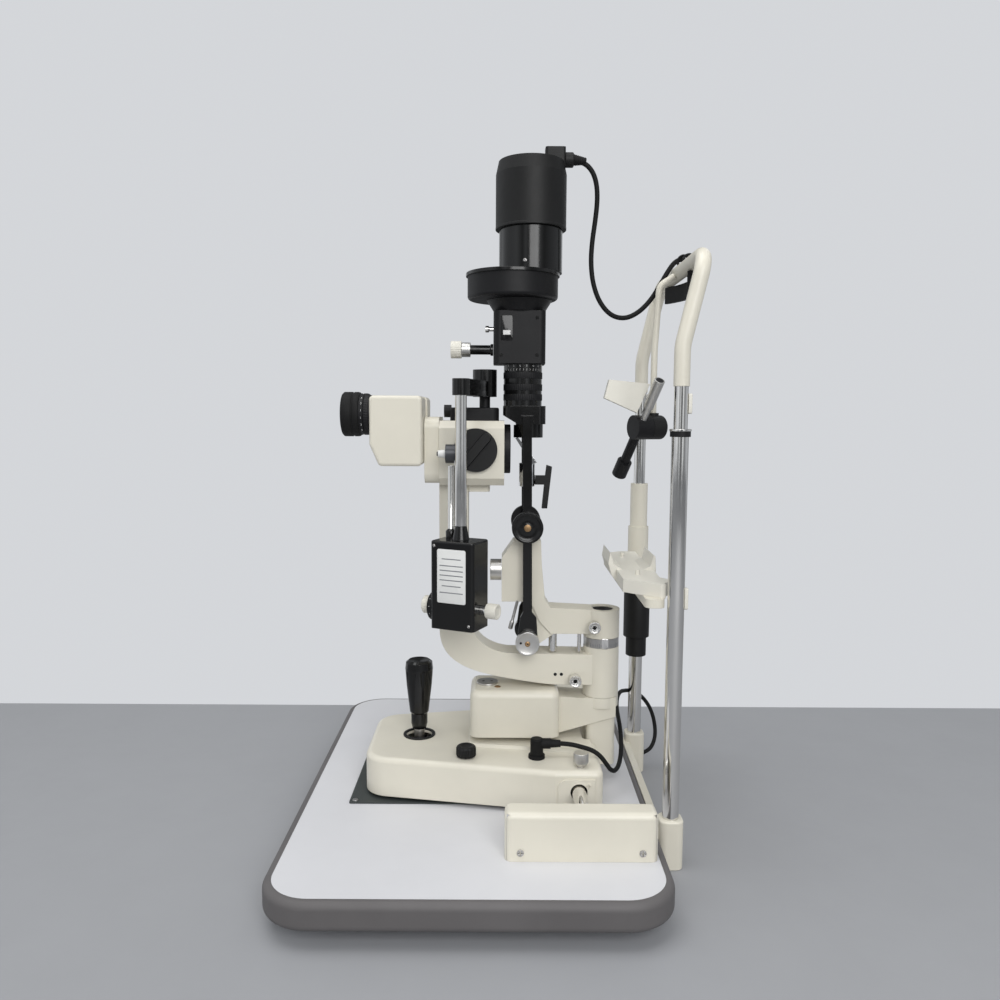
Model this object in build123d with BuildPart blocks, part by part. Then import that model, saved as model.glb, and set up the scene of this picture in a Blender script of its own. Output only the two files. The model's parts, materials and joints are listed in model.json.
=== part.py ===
import os
from math import atan2, cos, degrees, hypot, pi, radians, sin, tan

from build123d import *

# Slit lamp on its table top. Millimetres. The origin is the centre of the table's underside.
# +X points to the patient, +Y to the examiner's far hand, +Z up.

GAP = 0.3          # between neighbours that move past each other
RUN = 0.05         # radial running clearance of a shaft in its bore

# Table top
TABLE_X = 376.0
TABLE_Y = 536.0
TABLE_T = 28.0
EDGING_W = 8.0
TABLE_R = 48.0
EDGING_ROLL = 7.0
TOP_BOLT_X = 120.0
TOP_BOLT_Y = 160.0
TOP_BOLT_R = 3.3
TOP_BOLT_DEEP = 16.0
SCREW_R = 3.2

# Slide plate under the joystick
PLATE_X0 = -135.0
PLATE_LENGTH = 140.0
PLATE_WIDTH = 158.0
PLATE_T = 1.5

# Cross slide: wheels, racks and covers
AXLE_X = 111.0
AXLE_Z = 54.0
AXLE_R = 7.5
AXLE_BORE_R = 4.0
WHEEL_TEETH = 20
TOOTH_PITCH = 5.0
TOOTH_ADDENDUM = 1.0
TOOTH_DEDENDUM = 1.5
TOOTH_BACKLASH = 0.9
WHEEL_W = 9.0
WHEEL_Y = 183.0
RACK_W = 12.0
RACK_X0 = 44.0
RACK_X1 = 168.0
COVER_X0 = 32.5
COVER_X1 = 178.0
COVER_DEPTH = 27.0
COVER_FACE_Y = 197.0
COVER_TOP = 75.0
COVER_WALL = 2.0

# Base housing
BASE_X0 = -121.0
BASE_X1 = 137.0
BASE_Z0 = 33.0
BASE_Z1 = 75.5
BASE_WALL = 3.0
BASE_HALF_LEFT = 66.5
BASE_HALF_RIGHT = 104.0
BASE_FLARE_X = 86.0
BASE_CORNER_R = 30.0
BASE_NOSE_R = 9.0
PLATEAU_RISE = 3.5
PLATEAU_X0 = -8.0
PLATEAU_HALF_LEFT = 36.0
PLATEAU_HALF_RIGHT = 56.0
NOTCH_X0 = 122.0
NOTCH_HALF = 22.0
PANEL_X0 = 89.0
PANEL_T = 1.6

# Joystick
STICK_X = -66.0
STICK_Y = 0.0
BEZEL_R = 15.0
BALL_R = 12.5
STICK_BALL_R = 8.0
PIN_R = 1.8
STICK_PIVOT_Z = 60.0
GRIP_R = 16.0
GRIP_NECK_R = 9.5
GRIP_Z0 = 104.0
GRIP_Z1 = 165.0

# Height carrier
CARRIER_X0 = -6.0
CARRIER_X1 = 95.0
CARRIER_HALF_Y = 34.0
CARRIER_Z0 = 85.0
CARRIER_Z1 = 138.0
SPINDLE_X = 40.0
SPINDLE_R = 16.0
ARM_TOP = 126.0
ARM_HALF_Y = 18.0

# Main axis
AXIS_X = 144.0
HUB_R = 20.5
AXIS_R = 8.0
MIC_HUB_Z1 = 184.0
SCALE_Z1 = 195.0
LAMP_HUB_Z1 = 227.0
POST_Z0 = 47.0

# Microscope
OPTIC_Z = 409.0
MIC_ARM_X0 = -41.0
MIC_ARM_X1 = -9.0
MIC_ARM_HALF_Y = 17.0
MIC_X0 = -40.0
MIC_X1 = 31.0
MIC_Z0 = 370.0
MIC_Z1 = 440.5
MIC_HALF_Y = 38.0
OBJECTIVE_R = 27.5
OBJECTIVE_X1 = 38.0
MAG_KNOB_R = 23.5
EYE_Y = 32.0
EYE_Z = 447.0
EYECUP_R = 24.0
PRISM_X0 = -113.0
PRISM_X1 = -56.6
SPIGOT_Y = 18.0
SPIGOT_R = 6.0
SPIGOT_LENGTH = 8.0

# Tonometer
TONO_PIVOT_X = 9.0
TONO_ROD_X = -14.0
TONO_ROD_Y = -82.0
TONO_YAW = 25.0
TONO_BOX_X = -15.0
TONO_BOX_Y = -86.0
TONO_W = 50.0
TONO_D = 37.0
TONO_Z0 = 226.0
TONO_Z1 = 318.0

# Illumination
FORK_Y = 27.0
BAR_T = 5.0
BAR_W = 10.0
TILT_X = 58.0
TILT_Z = 194.0
PIVOT_R = 5.0
BEAM_X = 54.0
WIDTH_KNOB_Z = 324.0
BARREL_X = 51.5
BARREL_R = 21.3
BARREL_Z0 = 457.0
BARREL_Z1 = 503.0
FILTER_X = 47.0
FILTER_Z1 = 560.0
DISC_X = 39.5
DISC_R = 51.5
DISC_Z0 = 573.0
DISC_Z1 = 602.0
LAMP_X = 59.0
LAMP_R = 34.7
LAMP_Z1 = 657.0
CAP_R = 38.7
CAP_Z0 = 649.0
CAP_Z1 = 721.0
SOCKET_X = 85.0
SOCKET_LENGTH = 22.0
SOCKET_RISE = 15.0
CONNECTOR_R = 8.0
CONNECTOR_LENGTH = 9.0

# Headrest
COLUMN_X = 204.0
COLUMN_Y = 120.0
COLUMN_R = 8.5
SOCKET_Z0 = -16.0
SOCKET_Z1 = 35.0
SOCKET_R = 12.5
UPPER_R = 7.0
NEAR_COLUMN_Z1 = 433.0
UPPER_Z1 = 476.0
ARCH_R = 8.0
ARCH_TOP = 605.0
CHIN_Z = 262.0
JOINT_Z = 434.0
SHADE_Y = -25.5

os.makedirs("parts", exist_ok=True)


def save(part, label):
    part.label = label
    export_step(part, f"parts/{label}.step")


# Table top: laminated board inside a moulded edging with a rolled rim
with BuildPart() as table_top:
    with BuildSketch():
        RectangleRounded(TABLE_X - 2 * EDGING_W, TABLE_Y - 2 * EDGING_W, TABLE_R - EDGING_W)
    extrude(amount=TABLE_T)
    with BuildSketch():
        with GridLocations(TOP_BOLT_X, TOP_BOLT_Y, 2, 2):
            Circle(TOP_BOLT_R)
    extrude(amount=TOP_BOLT_DEEP, mode=Mode.SUBTRACT)
save(table_top.part, "table_top")

with BuildPart() as table_edging:
    with BuildSketch():
        RectangleRounded(TABLE_X, TABLE_Y, TABLE_R)
    extrude(amount=TABLE_T)
    rims = table_edging.faces().filter_by(Axis.Z).edges()
    fillet(rims, radius=EDGING_ROLL)
    with BuildSketch():
        RectangleRounded(TABLE_X - 2 * EDGING_W, TABLE_Y - 2 * EDGING_W, TABLE_R - EDGING_W)
    extrude(amount=TABLE_T, mode=Mode.SUBTRACT)
save(table_edging.part, "table_edging")

with BuildPart() as slide_plate:
    with BuildSketch(Plane.XY.offset(TABLE_T)):
        with Locations((PLATE_X0 + PLATE_LENGTH / 2, 0)):
            RectangleRounded(PLATE_LENGTH, PLATE_WIDTH, 2.0)
    extrude(amount=PLATE_T)
save(slide_plate.part, "slide_plate")

plate_middle = PLATE_X0 + PLATE_LENGTH / 2
cover_middle = (COVER_X0 + COVER_X1) / 2
with BuildPart() as table_screws:
    with BuildSketch(Plane.XY.offset(TABLE_T + PLATE_T)):
        with Locations((plate_middle, 0)):
            with GridLocations(PLATE_LENGTH - 12, PLATE_WIDTH - 12, 2, 2):
                Circle(SCREW_R)
    extrude(amount=0.8, taper=20)
    for side in (-1, 1):
        with BuildSketch(Plane.XZ.offset(-side * COVER_FACE_Y)):
            with Locations((cover_middle, TABLE_T + 9)):
                with GridLocations(COVER_X1 - COVER_X0 - 30, 1, 2, 1):
                    Circle(SCREW_R)
                    Rectangle(2 * SCREW_R - 1, 0.9, mode=Mode.SUBTRACT)
                    Rectangle(0.9, 2 * SCREW_R - 1, mode=Mode.SUBTRACT)
        extrude(amount=-side * 1.4)
save(table_screws.part, "table_screws")

# Toothed racks and wheels: same pitch, teeth thinned for backlash
wheel_pitch_r = WHEEL_TEETH * TOOTH_PITCH / (2 * pi)
wheel_tip_r = wheel_pitch_r + TOOTH_ADDENDUM
rack_pitch_z = AXLE_Z - wheel_pitch_r
tooth_half = (TOOTH_PITCH - TOOTH_BACKLASH) / 4
flank = 0.34
rack_teeth = int((RACK_X1 - RACK_X0) / TOOTH_PITCH)
rack_phase = AXLE_X + TOOTH_PITCH / 2


def rack_profile():
    first = rack_phase - TOOTH_PITCH * int((rack_phase - RACK_X0) / TOOTH_PITCH)
    low = rack_pitch_z - TOOTH_DEDENDUM
    high = rack_pitch_z + TOOTH_ADDENDUM
    wide = tooth_half + flank * TOOTH_DEDENDUM
    narrow = tooth_half - flank * TOOTH_ADDENDUM
    points = [(RACK_X0 - 3, TABLE_T), (RACK_X0 - 3, low)]
    for tooth in range(rack_teeth):
        x = first + tooth * TOOTH_PITCH
        points += [(x - wide, low), (x - narrow, high), (x + narrow, high), (x + wide, low)]
    return points + [(RACK_X1 + 3, low), (RACK_X1 + 3, TABLE_T)]


with BuildPart() as rails:
    for side in (-1, 1):
        with BuildSketch(Plane.XZ.offset(-side * WHEEL_Y)):
            with BuildLine():
                Polyline(*rack_profile(), close=True)
            make_face()
        extrude(amount=RACK_W / 2, both=True)
save(rails.part, "rails")

# Rail covers: pressed shells, open towards the base, with a rolled top edge
with BuildPart() as rail_covers:
    for side in (-1, 1):
        with BuildSketch(Plane.XY.offset(TABLE_T)):
            with Locations(((COVER_X0 + COVER_X1) / 2, side * (COVER_FACE_Y - COVER_DEPTH / 2))):
                RectangleRounded(COVER_X1 - COVER_X0, COVER_DEPTH, 7.0)
        extrude(amount=COVER_TOP - TABLE_T)
    fillet(rail_covers.faces().group_by(Axis.Z)[-1].edges(), radius=6.0)
    for side in (-1, 1):
        with BuildSketch(Plane.XY.offset(TABLE_T)):
            with Locations(((COVER_X0 + COVER_X1) / 2,
                            side * (COVER_FACE_Y - COVER_WALL - COVER_DEPTH / 2))):
                Rectangle(COVER_X1 - COVER_X0 - 2 * COVER_WALL, COVER_DEPTH)
        extrude(amount=COVER_TOP - TABLE_T - COVER_WALL, mode=Mode.SUBTRACT)
save(rail_covers.part, "rail_covers")

with BuildPart() as axle_tube:
    with BuildSketch(Plane.XZ.offset(WHEEL_Y - WHEEL_W / 2 - GAP)):
        with Locations((AXLE_X, AXLE_Z)):
            Circle(AXLE_R)
            Circle(AXLE_BORE_R + RUN, mode=Mode.SUBTRACT)
    extrude(amount=-2 * (WHEEL_Y - WHEEL_W / 2 - GAP))
save(axle_tube.part, "axle_tube")


def wheel_profile():
    root = wheel_pitch_r - TOOTH_DEDENDUM
    points = []
    step = 360 / WHEEL_TEETH
    for tooth in range(WHEEL_TEETH):
        middle = -90 + tooth * step
        for radius, side in ((root, -1), (wheel_tip_r, -1), (wheel_tip_r, 1), (root, 1)):
            half = tooth_half - flank * (radius - wheel_pitch_r)
            turn = radians(middle) + side * half / radius
            points.append((AXLE_X + radius * cos(turn), AXLE_Z + radius * sin(turn)))
    return points


with BuildPart() as wheel_pair:
    with BuildSketch(Plane.XZ.offset(WHEEL_Y + WHEEL_W / 2 + 2)):
        with Locations((AXLE_X, AXLE_Z)):
            Circle(AXLE_BORE_R)
    extrude(amount=-2 * (WHEEL_Y + WHEEL_W / 2 + 2))
    for side in (-1, 1):
        with BuildSketch(Plane.XZ.offset(-side * WHEEL_Y)):
            with BuildLine():
                Polyline(*wheel_profile(), close=True)
            make_face()
            with Locations((AXLE_X, AXLE_Z)):
                with PolarLocations(wheel_pitch_r * 0.56, 6):
                    Circle(2.6, mode=Mode.SUBTRACT)
        extrude(amount=WHEEL_W / 2, both=True)
save(wheel_pair.part, "wheel_pair")


# Base housing: a shell that flares towards the axle, with a raised plateau and a notch
def base_outline(inset):
    left = BASE_HALF_LEFT - inset
    right = BASE_HALF_RIGHT - inset
    return [
        (BASE_X0 + inset, -left), (BASE_FLARE_X, -right), (BASE_X1 - inset, -right),
        (BASE_X1 - inset, right), (BASE_FLARE_X, right), (BASE_X0 + inset, left),
    ]


def base_sketch(inset):
    with BuildSketch(Plane.XY.offset(BASE_Z0)) as outline:
        with BuildLine():
            Polyline(*base_outline(inset), close=True)
        make_face()
        left_corners = outline.vertices().group_by(Axis.X)[0]
        fillet(left_corners, radius=BASE_CORNER_R - inset)
        right_corners = outline.vertices().group_by(Axis.X)[-1]
        fillet(right_corners, radius=BASE_NOSE_R - min(inset, 4))
    return outline.sketch


with BuildPart() as base_housing:
    add(base_sketch(0))
    extrude(amount=BASE_Z1 - BASE_Z0)
    fillet(base_housing.faces().sort_by(Axis.Z)[-1].edges(), radius=6.0)
    with BuildSketch(Plane.XY.offset(BASE_Z1)) as plateau:
        with BuildLine():
            Polyline((PLATEAU_X0, -PLATEAU_HALF_LEFT), (BASE_X1 - 5, -PLATEAU_HALF_RIGHT),
                     (BASE_X1 - 5, PLATEAU_HALF_RIGHT), (PLATEAU_X0, PLATEAU_HALF_LEFT), close=True)
        make_face()
        fillet(plateau.vertices(), radius=9)
    extrude(amount=PLATEAU_RISE, taper=20)
    with BuildSketch(Plane.XY.offset(BASE_Z0)):
        with Locations((NOTCH_X0 + 30, 0)):
            RectangleRounded(60, 2 * NOTCH_HALF, 7)
    extrude(amount=BASE_Z1 + PLATEAU_RISE - BASE_Z0, mode=Mode.SUBTRACT)
    with BuildSketch(Plane.XY.offset(BASE_Z0)) as hollow:
        add(base_sketch(BASE_WALL))
        with Locations((NOTCH_X0 + 30, 0)):
            Rectangle(60 + 2 * BASE_WALL, 2 * (NOTCH_HALF + BASE_WALL), mode=Mode.SUBTRACT)
    extrude(amount=BASE_Z1 - BASE_Z0 - BASE_WALL, mode=Mode.SUBTRACT)
    with BuildSketch(Plane.XY.offset(BASE_Z1 - 10)):
        with Locations((STICK_X, STICK_Y)):
            Circle(BEZEL_R)
        with Locations((SPINDLE_X, 0)):
            Circle(SPINDLE_R + 3)
    extrude(amount=20, mode=Mode.SUBTRACT)
    with BuildSketch(Plane.XZ.offset(BASE_HALF_RIGHT)):
        with Locations((AXLE_X, AXLE_Z)):
            Circle(AXLE_R + 1.5)
    extrude(amount=-2 * BASE_HALF_RIGHT, mode=Mode.SUBTRACT)
save(base_housing.part, "base_housing")

# Base pan: closes the housing, carries the axle bushes and the lift column
with BuildPart() as base_pan:
    with BuildSketch(Plane.XY.offset(BASE_Z0 + 0.2)):
        add(base_sketch(BASE_WALL + 0.3))
        with Locations((NOTCH_X0 + 30, 0)):
            Rectangle(60 + 2 * (BASE_WALL + 1), 2 * (NOTCH_HALF + BASE_WALL + 1),
                      mode=Mode.SUBTRACT)
        with Locations((STICK_X, STICK_Y)):
            Circle(BALL_R + 3.5, mode=Mode.SUBTRACT)
    extrude(amount=3)
    for side in (-1, 1):
        with BuildSketch(Plane.XZ.offset(side * 62)):
            with Locations((AXLE_X - 2, (BASE_Z0 + AXLE_Z + 11) / 2)):
                Rectangle(26, AXLE_Z + 11 - BASE_Z0 - 1)
        extrude(amount=9, both=True)
    with BuildSketch(Plane.XZ.offset(BASE_HALF_RIGHT)):
        with Locations((AXLE_X, AXLE_Z)):
            Circle(AXLE_R + RUN)
    extrude(amount=-2 * BASE_HALF_RIGHT, mode=Mode.SUBTRACT)
    for side in (-1, 1):
        with BuildSketch(Plane.XY.offset(BASE_Z0 + 3)):
            with Locations((STICK_X, side * (BALL_R + 6.5))):
                Rectangle(14, 5)
        extrude(amount=STICK_PIVOT_Z - BASE_Z0 + 3)
        with BuildSketch(Plane.XZ.offset(-side * (BALL_R + 3.5))):
            with Locations((STICK_X, STICK_PIVOT_Z)):
                Circle(2.5 + RUN)
        extrude(amount=-side * 6, mode=Mode.SUBTRACT)
save(base_pan.part, "base_pan")

with BuildPart() as base_side_panels:
    for side in (-1, 1):
        with BuildSketch(Plane.XZ.offset(side * (BASE_HALF_RIGHT + PANEL_T * (side > 0)))) as panel:
            with Locations(((PANEL_X0 + BASE_X1 - BASE_NOSE_R) / 2, (BASE_Z0 + 67.5) / 2)):
                Rectangle(BASE_X1 - BASE_NOSE_R - PANEL_X0, 67.5 - BASE_Z0)
            fillet(panel.vertices().sort_by(Axis.Z)[-2:], radius=9)
            with Locations((AXLE_X, AXLE_Z)):
                Circle(AXLE_R + 1.5, mode=Mode.SUBTRACT)
        extrude(amount=-PANEL_T)
    for side in (-1, 1):
        with BuildSketch(Plane.XZ.offset(-side * (BASE_HALF_RIGHT + PANEL_T + 0.02))):
            with Locations((BASE_X1 - BASE_NOSE_R - 7, 61), (PANEL_X0 + 8, BASE_Z0 + 7)):
                Circle(SCREW_R - 0.4)
                Rectangle(2 * SCREW_R - 2, 0.8, mode=Mode.SUBTRACT)
                Rectangle(0.8, 2 * SCREW_R - 2, mode=Mode.SUBTRACT)
        extrude(amount=-side * 1.0)
save(base_side_panels.part, "base_side_panels")

with BuildPart() as lift_column:
    with BuildSketch(Plane.XY.offset(BASE_Z0 + 3.2)):
        with Locations((SPINDLE_X, 0)):
            Circle(SPINDLE_R)
            Circle(SPINDLE_R - 4, mode=Mode.SUBTRACT)
    extrude(amount=89)
    with BuildSketch(Plane.XY.offset(BASE_Z0 + 3.2)):
        with Locations((SPINDLE_X, 0)):
            Circle(SPINDLE_R + 9)
            Circle(SPINDLE_R - 4, mode=Mode.SUBTRACT)
    extrude(amount=5)
save(lift_column.part, "lift_column")

with BuildPart() as base_lock_knob:
    with BuildSketch(Plane.XY.offset(BASE_Z1 + 1.5)):
        with Locations((-9, -64)):
            Circle(10.8)
            with PolarLocations(11.2, 16):
                Circle(1.1, mode=Mode.SUBTRACT)
    extrude(amount=11)
    fillet(base_lock_knob.faces().sort_by(Axis.Z)[-1].edges(), radius=1.0)
    with BuildSketch(Plane.XY.offset(BASE_Z1 + 0.1)):
        with Locations((-9, -64)):
            Circle(6)
    extrude(amount=2)
save(base_lock_knob.part, "base_lock_knob")

with BuildPart() as axle_lock_knob:
    with BuildSketch(Plane.XY.offset(BASE_Z1 + 2.5)):
        with Locations((AXLE_X + 3, 14 - BASE_HALF_RIGHT)):
            Circle(8)
    extrude(amount=13)
    chamfer(axle_lock_knob.edges().filter_by(GeomType.CIRCLE), length=0.8)
    with BuildSketch(Plane.XY.offset(BASE_Z1 + 0.1)):
        with Locations((AXLE_X + 3, 14 - BASE_HALF_RIGHT)):
            Circle(4)
    extrude(amount=3)
save(axle_lock_knob.part, "axle_lock_knob")

with BuildPart() as joystick_bezel:
    with BuildSketch(Plane.XY.offset(BASE_Z1 + 0.02)):
        with Locations((STICK_X, STICK_Y)):
            Circle(BEZEL_R + 3.5)
            Circle(BEZEL_R, mode=Mode.SUBTRACT)
    extrude(amount=1.8)
    fillet(joystick_bezel.edges().sort_by(Axis.Z)[-2:], radius=0.7)
save(joystick_bezel.part, "joystick_bezel")

with BuildPart() as joystick_shaft:
    with Locations((STICK_X, STICK_Y, TABLE_T + PLATE_T + BALL_R + 0.1)):
        Sphere(BALL_R)
    with Locations((STICK_X, STICK_Y, STICK_PIVOT_Z)):
        Sphere(STICK_BALL_R)
    with BuildSketch(Plane.XY.offset(TABLE_T + PLATE_T + BALL_R)):
        with Locations((STICK_X, STICK_Y)):
            Circle(6)
    extrude(amount=GRIP_Z1 - 12 - TABLE_T - PLATE_T - BALL_R)
    with BuildSketch(Plane.YZ.offset(STICK_X)):
        with Locations((STICK_Y, STICK_PIVOT_Z)):
            Circle(PIN_R)
    extrude(amount=STICK_BALL_R + 4, both=True)
save(joystick_shaft.part, "joystick_shaft")

with BuildPart() as joystick_gimbal:
    with BuildSketch(Plane.XY.offset(STICK_PIVOT_Z - 3)):
        with Locations((STICK_X, STICK_Y)):
            Circle(STICK_BALL_R + 4)
            Circle(STICK_BALL_R + 0.4, mode=Mode.SUBTRACT)
    extrude(amount=6)
    for side in (-1, 1):
        with BuildSketch(Plane.XZ.offset(-side * (STICK_BALL_R + 2))):
            with Locations((STICK_X, STICK_PIVOT_Z)):
                Circle(2.5)
        extrude(amount=-side * (BALL_R + 8 - STICK_BALL_R - 2))
    with BuildSketch(Plane.YZ.offset(STICK_X)):
        with Locations((STICK_Y, STICK_PIVOT_Z)):
            Circle(PIN_R + RUN)
    extrude(amount=STICK_BALL_R + 5, both=True, mode=Mode.SUBTRACT)
save(joystick_gimbal.part, "joystick_gimbal")


def grip_profile():
    return [
        (6 + RUN, 84), (GRIP_NECK_R - 1.5, 84), (GRIP_NECK_R, 90), (GRIP_NECK_R, GRIP_Z0 - 2),
        (GRIP_NECK_R + 1.4, GRIP_Z0), (GRIP_R - 1.4, GRIP_Z0 + 32), (GRIP_R, GRIP_Z1 - 10),
        (GRIP_R - 0.8, GRIP_Z1 - 2.5), (GRIP_R - 4, GRIP_Z1), (GRIP_R - 6, GRIP_Z1 - 0.4),
        (0, GRIP_Z1 - 2.4), (0, GRIP_Z1 - 11), (6 + RUN, GRIP_Z1 - 11),
    ]


with BuildPart() as joystick_grip:
    with BuildSketch(Plane.XZ):
        with BuildLine():
            Polyline(*grip_profile(), close=True)
        make_face()
    revolve(axis=Axis.Z)
    with BuildSketch(Plane.XY.offset(GRIP_Z0 + 1)):
        with PolarLocations(GRIP_R + 1.6, 10):
            Circle(3.0)
    extrude(amount=GRIP_Z1 - 13 - GRIP_Z0, mode=Mode.SUBTRACT)
joystick_grip.part.position = (STICK_X, STICK_Y, 0)
save(joystick_grip.part, "joystick_grip")

# Height carrier: box over the lift column, arm and bearing post under the main axis
with BuildPart() as height_carrier:
    with BuildSketch(Plane.XY.offset(CARRIER_Z0)):
        with Locations(((CARRIER_X0 + CARRIER_X1) / 2, 0)):
            RectangleRounded(CARRIER_X1 - CARRIER_X0, 2 * CARRIER_HALF_Y, 10)
    extrude(amount=CARRIER_Z1 - CARRIER_Z0)
    fillet(height_carrier.faces().sort_by(Axis.Z)[-1].edges(), radius=8)
    with BuildSketch(Plane.XY.offset(CARRIER_Z0)):
        with Locations((SPINDLE_X, 0)):
            Circle(SPINDLE_R + RUN)
    extrude(amount=CARRIER_Z1 - CARRIER_Z0 - 8, mode=Mode.SUBTRACT)
    with BuildSketch(Plane.XZ):
        with BuildLine():
            Polyline((CARRIER_X1 - 6, CARRIER_Z0 + 0.5), (CARRIER_X1 + 1, CARRIER_Z0 + 0.5),
                     (160, 104), (160, ARM_TOP), (122, ARM_TOP), (CARRIER_X1 - 6, ARM_TOP + 2),
                     close=True)
        make_face()
    extrude(amount=ARM_HALF_Y, both=True)
    with BuildSketch(Plane.XY.offset(POST_Z0)):
        with Locations((143.5, 0)):
            RectangleRounded(33, 32, 6)
    extrude(amount=ARM_TOP - POST_Z0 - 5)
    with BuildSketch(Plane.XY.offset(ARM_TOP - 12)):
        with Locations((AXIS_X, 0)):
            Circle(HUB_R)
    extrude(amount=12)
    with BuildSketch(Plane.XY.offset(POST_Z0 + 8)):
        with Locations((AXIS_X, 0)):
            Circle(AXIS_R)
    extrude(amount=ARM_TOP - POST_Z0, mode=Mode.SUBTRACT)
save(height_carrier.part, "height_carrier")

with BuildPart() as carrier_cap:
    with BuildSketch(Plane.XY.offset(CARRIER_Z1)):
        with Locations((13.2, 0)):
            Circle(12.7)
    extrude(amount=2)
    fillet(carrier_cap.edges().sort_by(Axis.Z)[-1:], radius=0.8)
save(carrier_cap.part, "carrier_cap")

with BuildPart() as axis_shaft:
    with BuildSketch(Plane.XY.offset(POST_Z0 + 8)):
        with Locations((AXIS_X, 0)):
            Circle(AXIS_R)
    extrude(amount=LAMP_HUB_Z1 - 3 - POST_Z0 - 8)
save(axis_shaft.part, "axis_shaft")

# Microscope arm: hub, horizontal beam that sweeps up into the pillar
MIC_ARM_TOP = 178.0
with BuildPart() as microscope_arm:
    with BuildSketch(Plane.XZ):
        with BuildLine():
            outer_foot = Line((AXIS_X, 141), (97, 141.4))
            outer_bottom = Spline(outer_foot @ 1, (62, 144.6), (20, 152), tangents=[(-1, 0), (-1, 0.22)])
            outer_bend = Spline(outer_bottom @ 1, (-26, 171), (MIC_ARM_X0, 206),
                                tangents=[(-1, 0.22), (0, 1)])
            outer_side = Line(outer_bend @ 1, (MIC_ARM_X0, MIC_Z0 - 1))
            head = Line(outer_side @ 1, (MIC_ARM_X1, MIC_Z0 - 1))
            inner_side = Line(head @ 1, (MIC_ARM_X1, 232))
            inner_bend = Spline(inner_side @ 1, (3, 194), (36, MIC_ARM_TOP),
                                tangents=[(0, -1), (1, -0.12)])
            top = Line(inner_bend @ 1, (AXIS_X, MIC_ARM_TOP - 2))
            Line(top @ 1, outer_foot @ 0)
        make_face()
    extrude(amount=MIC_ARM_HALF_Y, both=True)
    with BuildSketch(Plane.XY.offset(ARM_TOP + GAP)):
        with Locations((AXIS_X, 0)):
            Circle(HUB_R)
    extrude(amount=MIC_HUB_Z1 - ARM_TOP - GAP)
    with BuildSketch(Plane.XY.offset(ARM_TOP)):
        with Locations((AXIS_X, 0)):
            Circle(AXIS_R + RUN)
    extrude(amount=MIC_HUB_Z1 - ARM_TOP + 1, mode=Mode.SUBTRACT)
save(microscope_arm.part, "microscope_arm")

with BuildPart() as angle_scale:
    with BuildSketch(Plane.XY.offset(MIC_HUB_Z1)):
        with Locations((AXIS_X, 0)):
            Circle(HUB_R - 0.3)
            Circle(AXIS_R + RUN, mode=Mode.SUBTRACT)
    extrude(amount=SCALE_Z1 - MIC_HUB_Z1 - GAP)
save(angle_scale.part, "angle_scale")

with BuildPart() as microscope_body:
    with BuildSketch(Plane.YZ.offset(MIC_X0)) as section:
        with Locations((0, (MIC_Z0 + MIC_Z1) / 2)):
            Rectangle(2 * MIC_HALF_Y, MIC_Z1 - MIC_Z0)
        chamfer(section.vertices(), length=8)
    extrude(amount=MIC_X1 - MIC_X0)
    with BuildSketch(Plane.YZ.offset(MIC_X0)):
        with Locations((0, (MIC_Z0 + MIC_Z1) / 2 + 3)):
            RectangleRounded(2 * MIC_HALF_Y - 4, MIC_Z1 - MIC_Z0 + 2, 12)
    extrude(amount=-16)
    with BuildSketch(Plane.YZ.offset(MIC_X1)):
        with Locations((0, OPTIC_Z)):
            Circle(OBJECTIVE_R - 4)
    extrude(amount=-14, mode=Mode.SUBTRACT)
    with BuildSketch(Plane.XY.offset(MIC_Z0)):
        with Locations(((MIC_ARM_X0 + MIC_ARM_X1) / 2, 0)):
            Rectangle(MIC_ARM_X1 - MIC_ARM_X0 - 2, 2 * MIC_ARM_HALF_Y - 2)
    extrude(amount=-1)
    with BuildSketch(Plane.XY.offset(MIC_Z0)):
        with Locations((3, 0)):
            RectangleRounded(24, 40, 3)
    extrude(amount=-8)
    with BuildSketch(Plane.YZ.offset(PRISM_X1)):
        with Locations((0, OPTIC_Z)):
            with GridLocations(2 * SPIGOT_Y, 1, 2, 1):
                Circle(SPIGOT_R + RUN)
    extrude(amount=SPIGOT_LENGTH + 0.5, mode=Mode.SUBTRACT)
save(microscope_body.part, "microscope_body")

with BuildPart() as objective:
    with BuildSketch(Plane.YZ.offset(MIC_X1 + 0.01)):
        with Locations((0, OPTIC_Z)):
            Circle(OBJECTIVE_R)
            Circle(OBJECTIVE_R - 4, mode=Mode.SUBTRACT)
    extrude(amount=OBJECTIVE_X1 - MIC_X1)
    fillet(objective.edges().group_by(Axis.X)[-1], radius=1.2)
    with BuildSketch(Plane.YZ.offset(MIC_X1 + 1)):
        with Locations((0, OPTIC_Z)):
            Circle(OBJECTIVE_R - 4)
    extrude(amount=3.5)
save(objective.part, "objective")

with BuildPart() as magnification_knobs:
    for side in (-1, 1):
        with BuildSketch(Plane.XZ.offset(side * (MIC_HALF_Y + GAP))) as knob:
            with Locations((0, OPTIC_Z)):
                Circle(MAG_KNOB_R)
        extrude(amount=side * 5)
        with BuildSketch(Plane.XZ.offset(side * (MIC_HALF_Y + GAP + 5))) as bar:
            with Locations((0, OPTIC_Z)):
                SlotOverall(2 * MAG_KNOB_R - 1, 11, rotation=50)
        extrude(amount=side * 6, taper=6)
save(magnification_knobs.part, "magnification_knobs")


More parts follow.
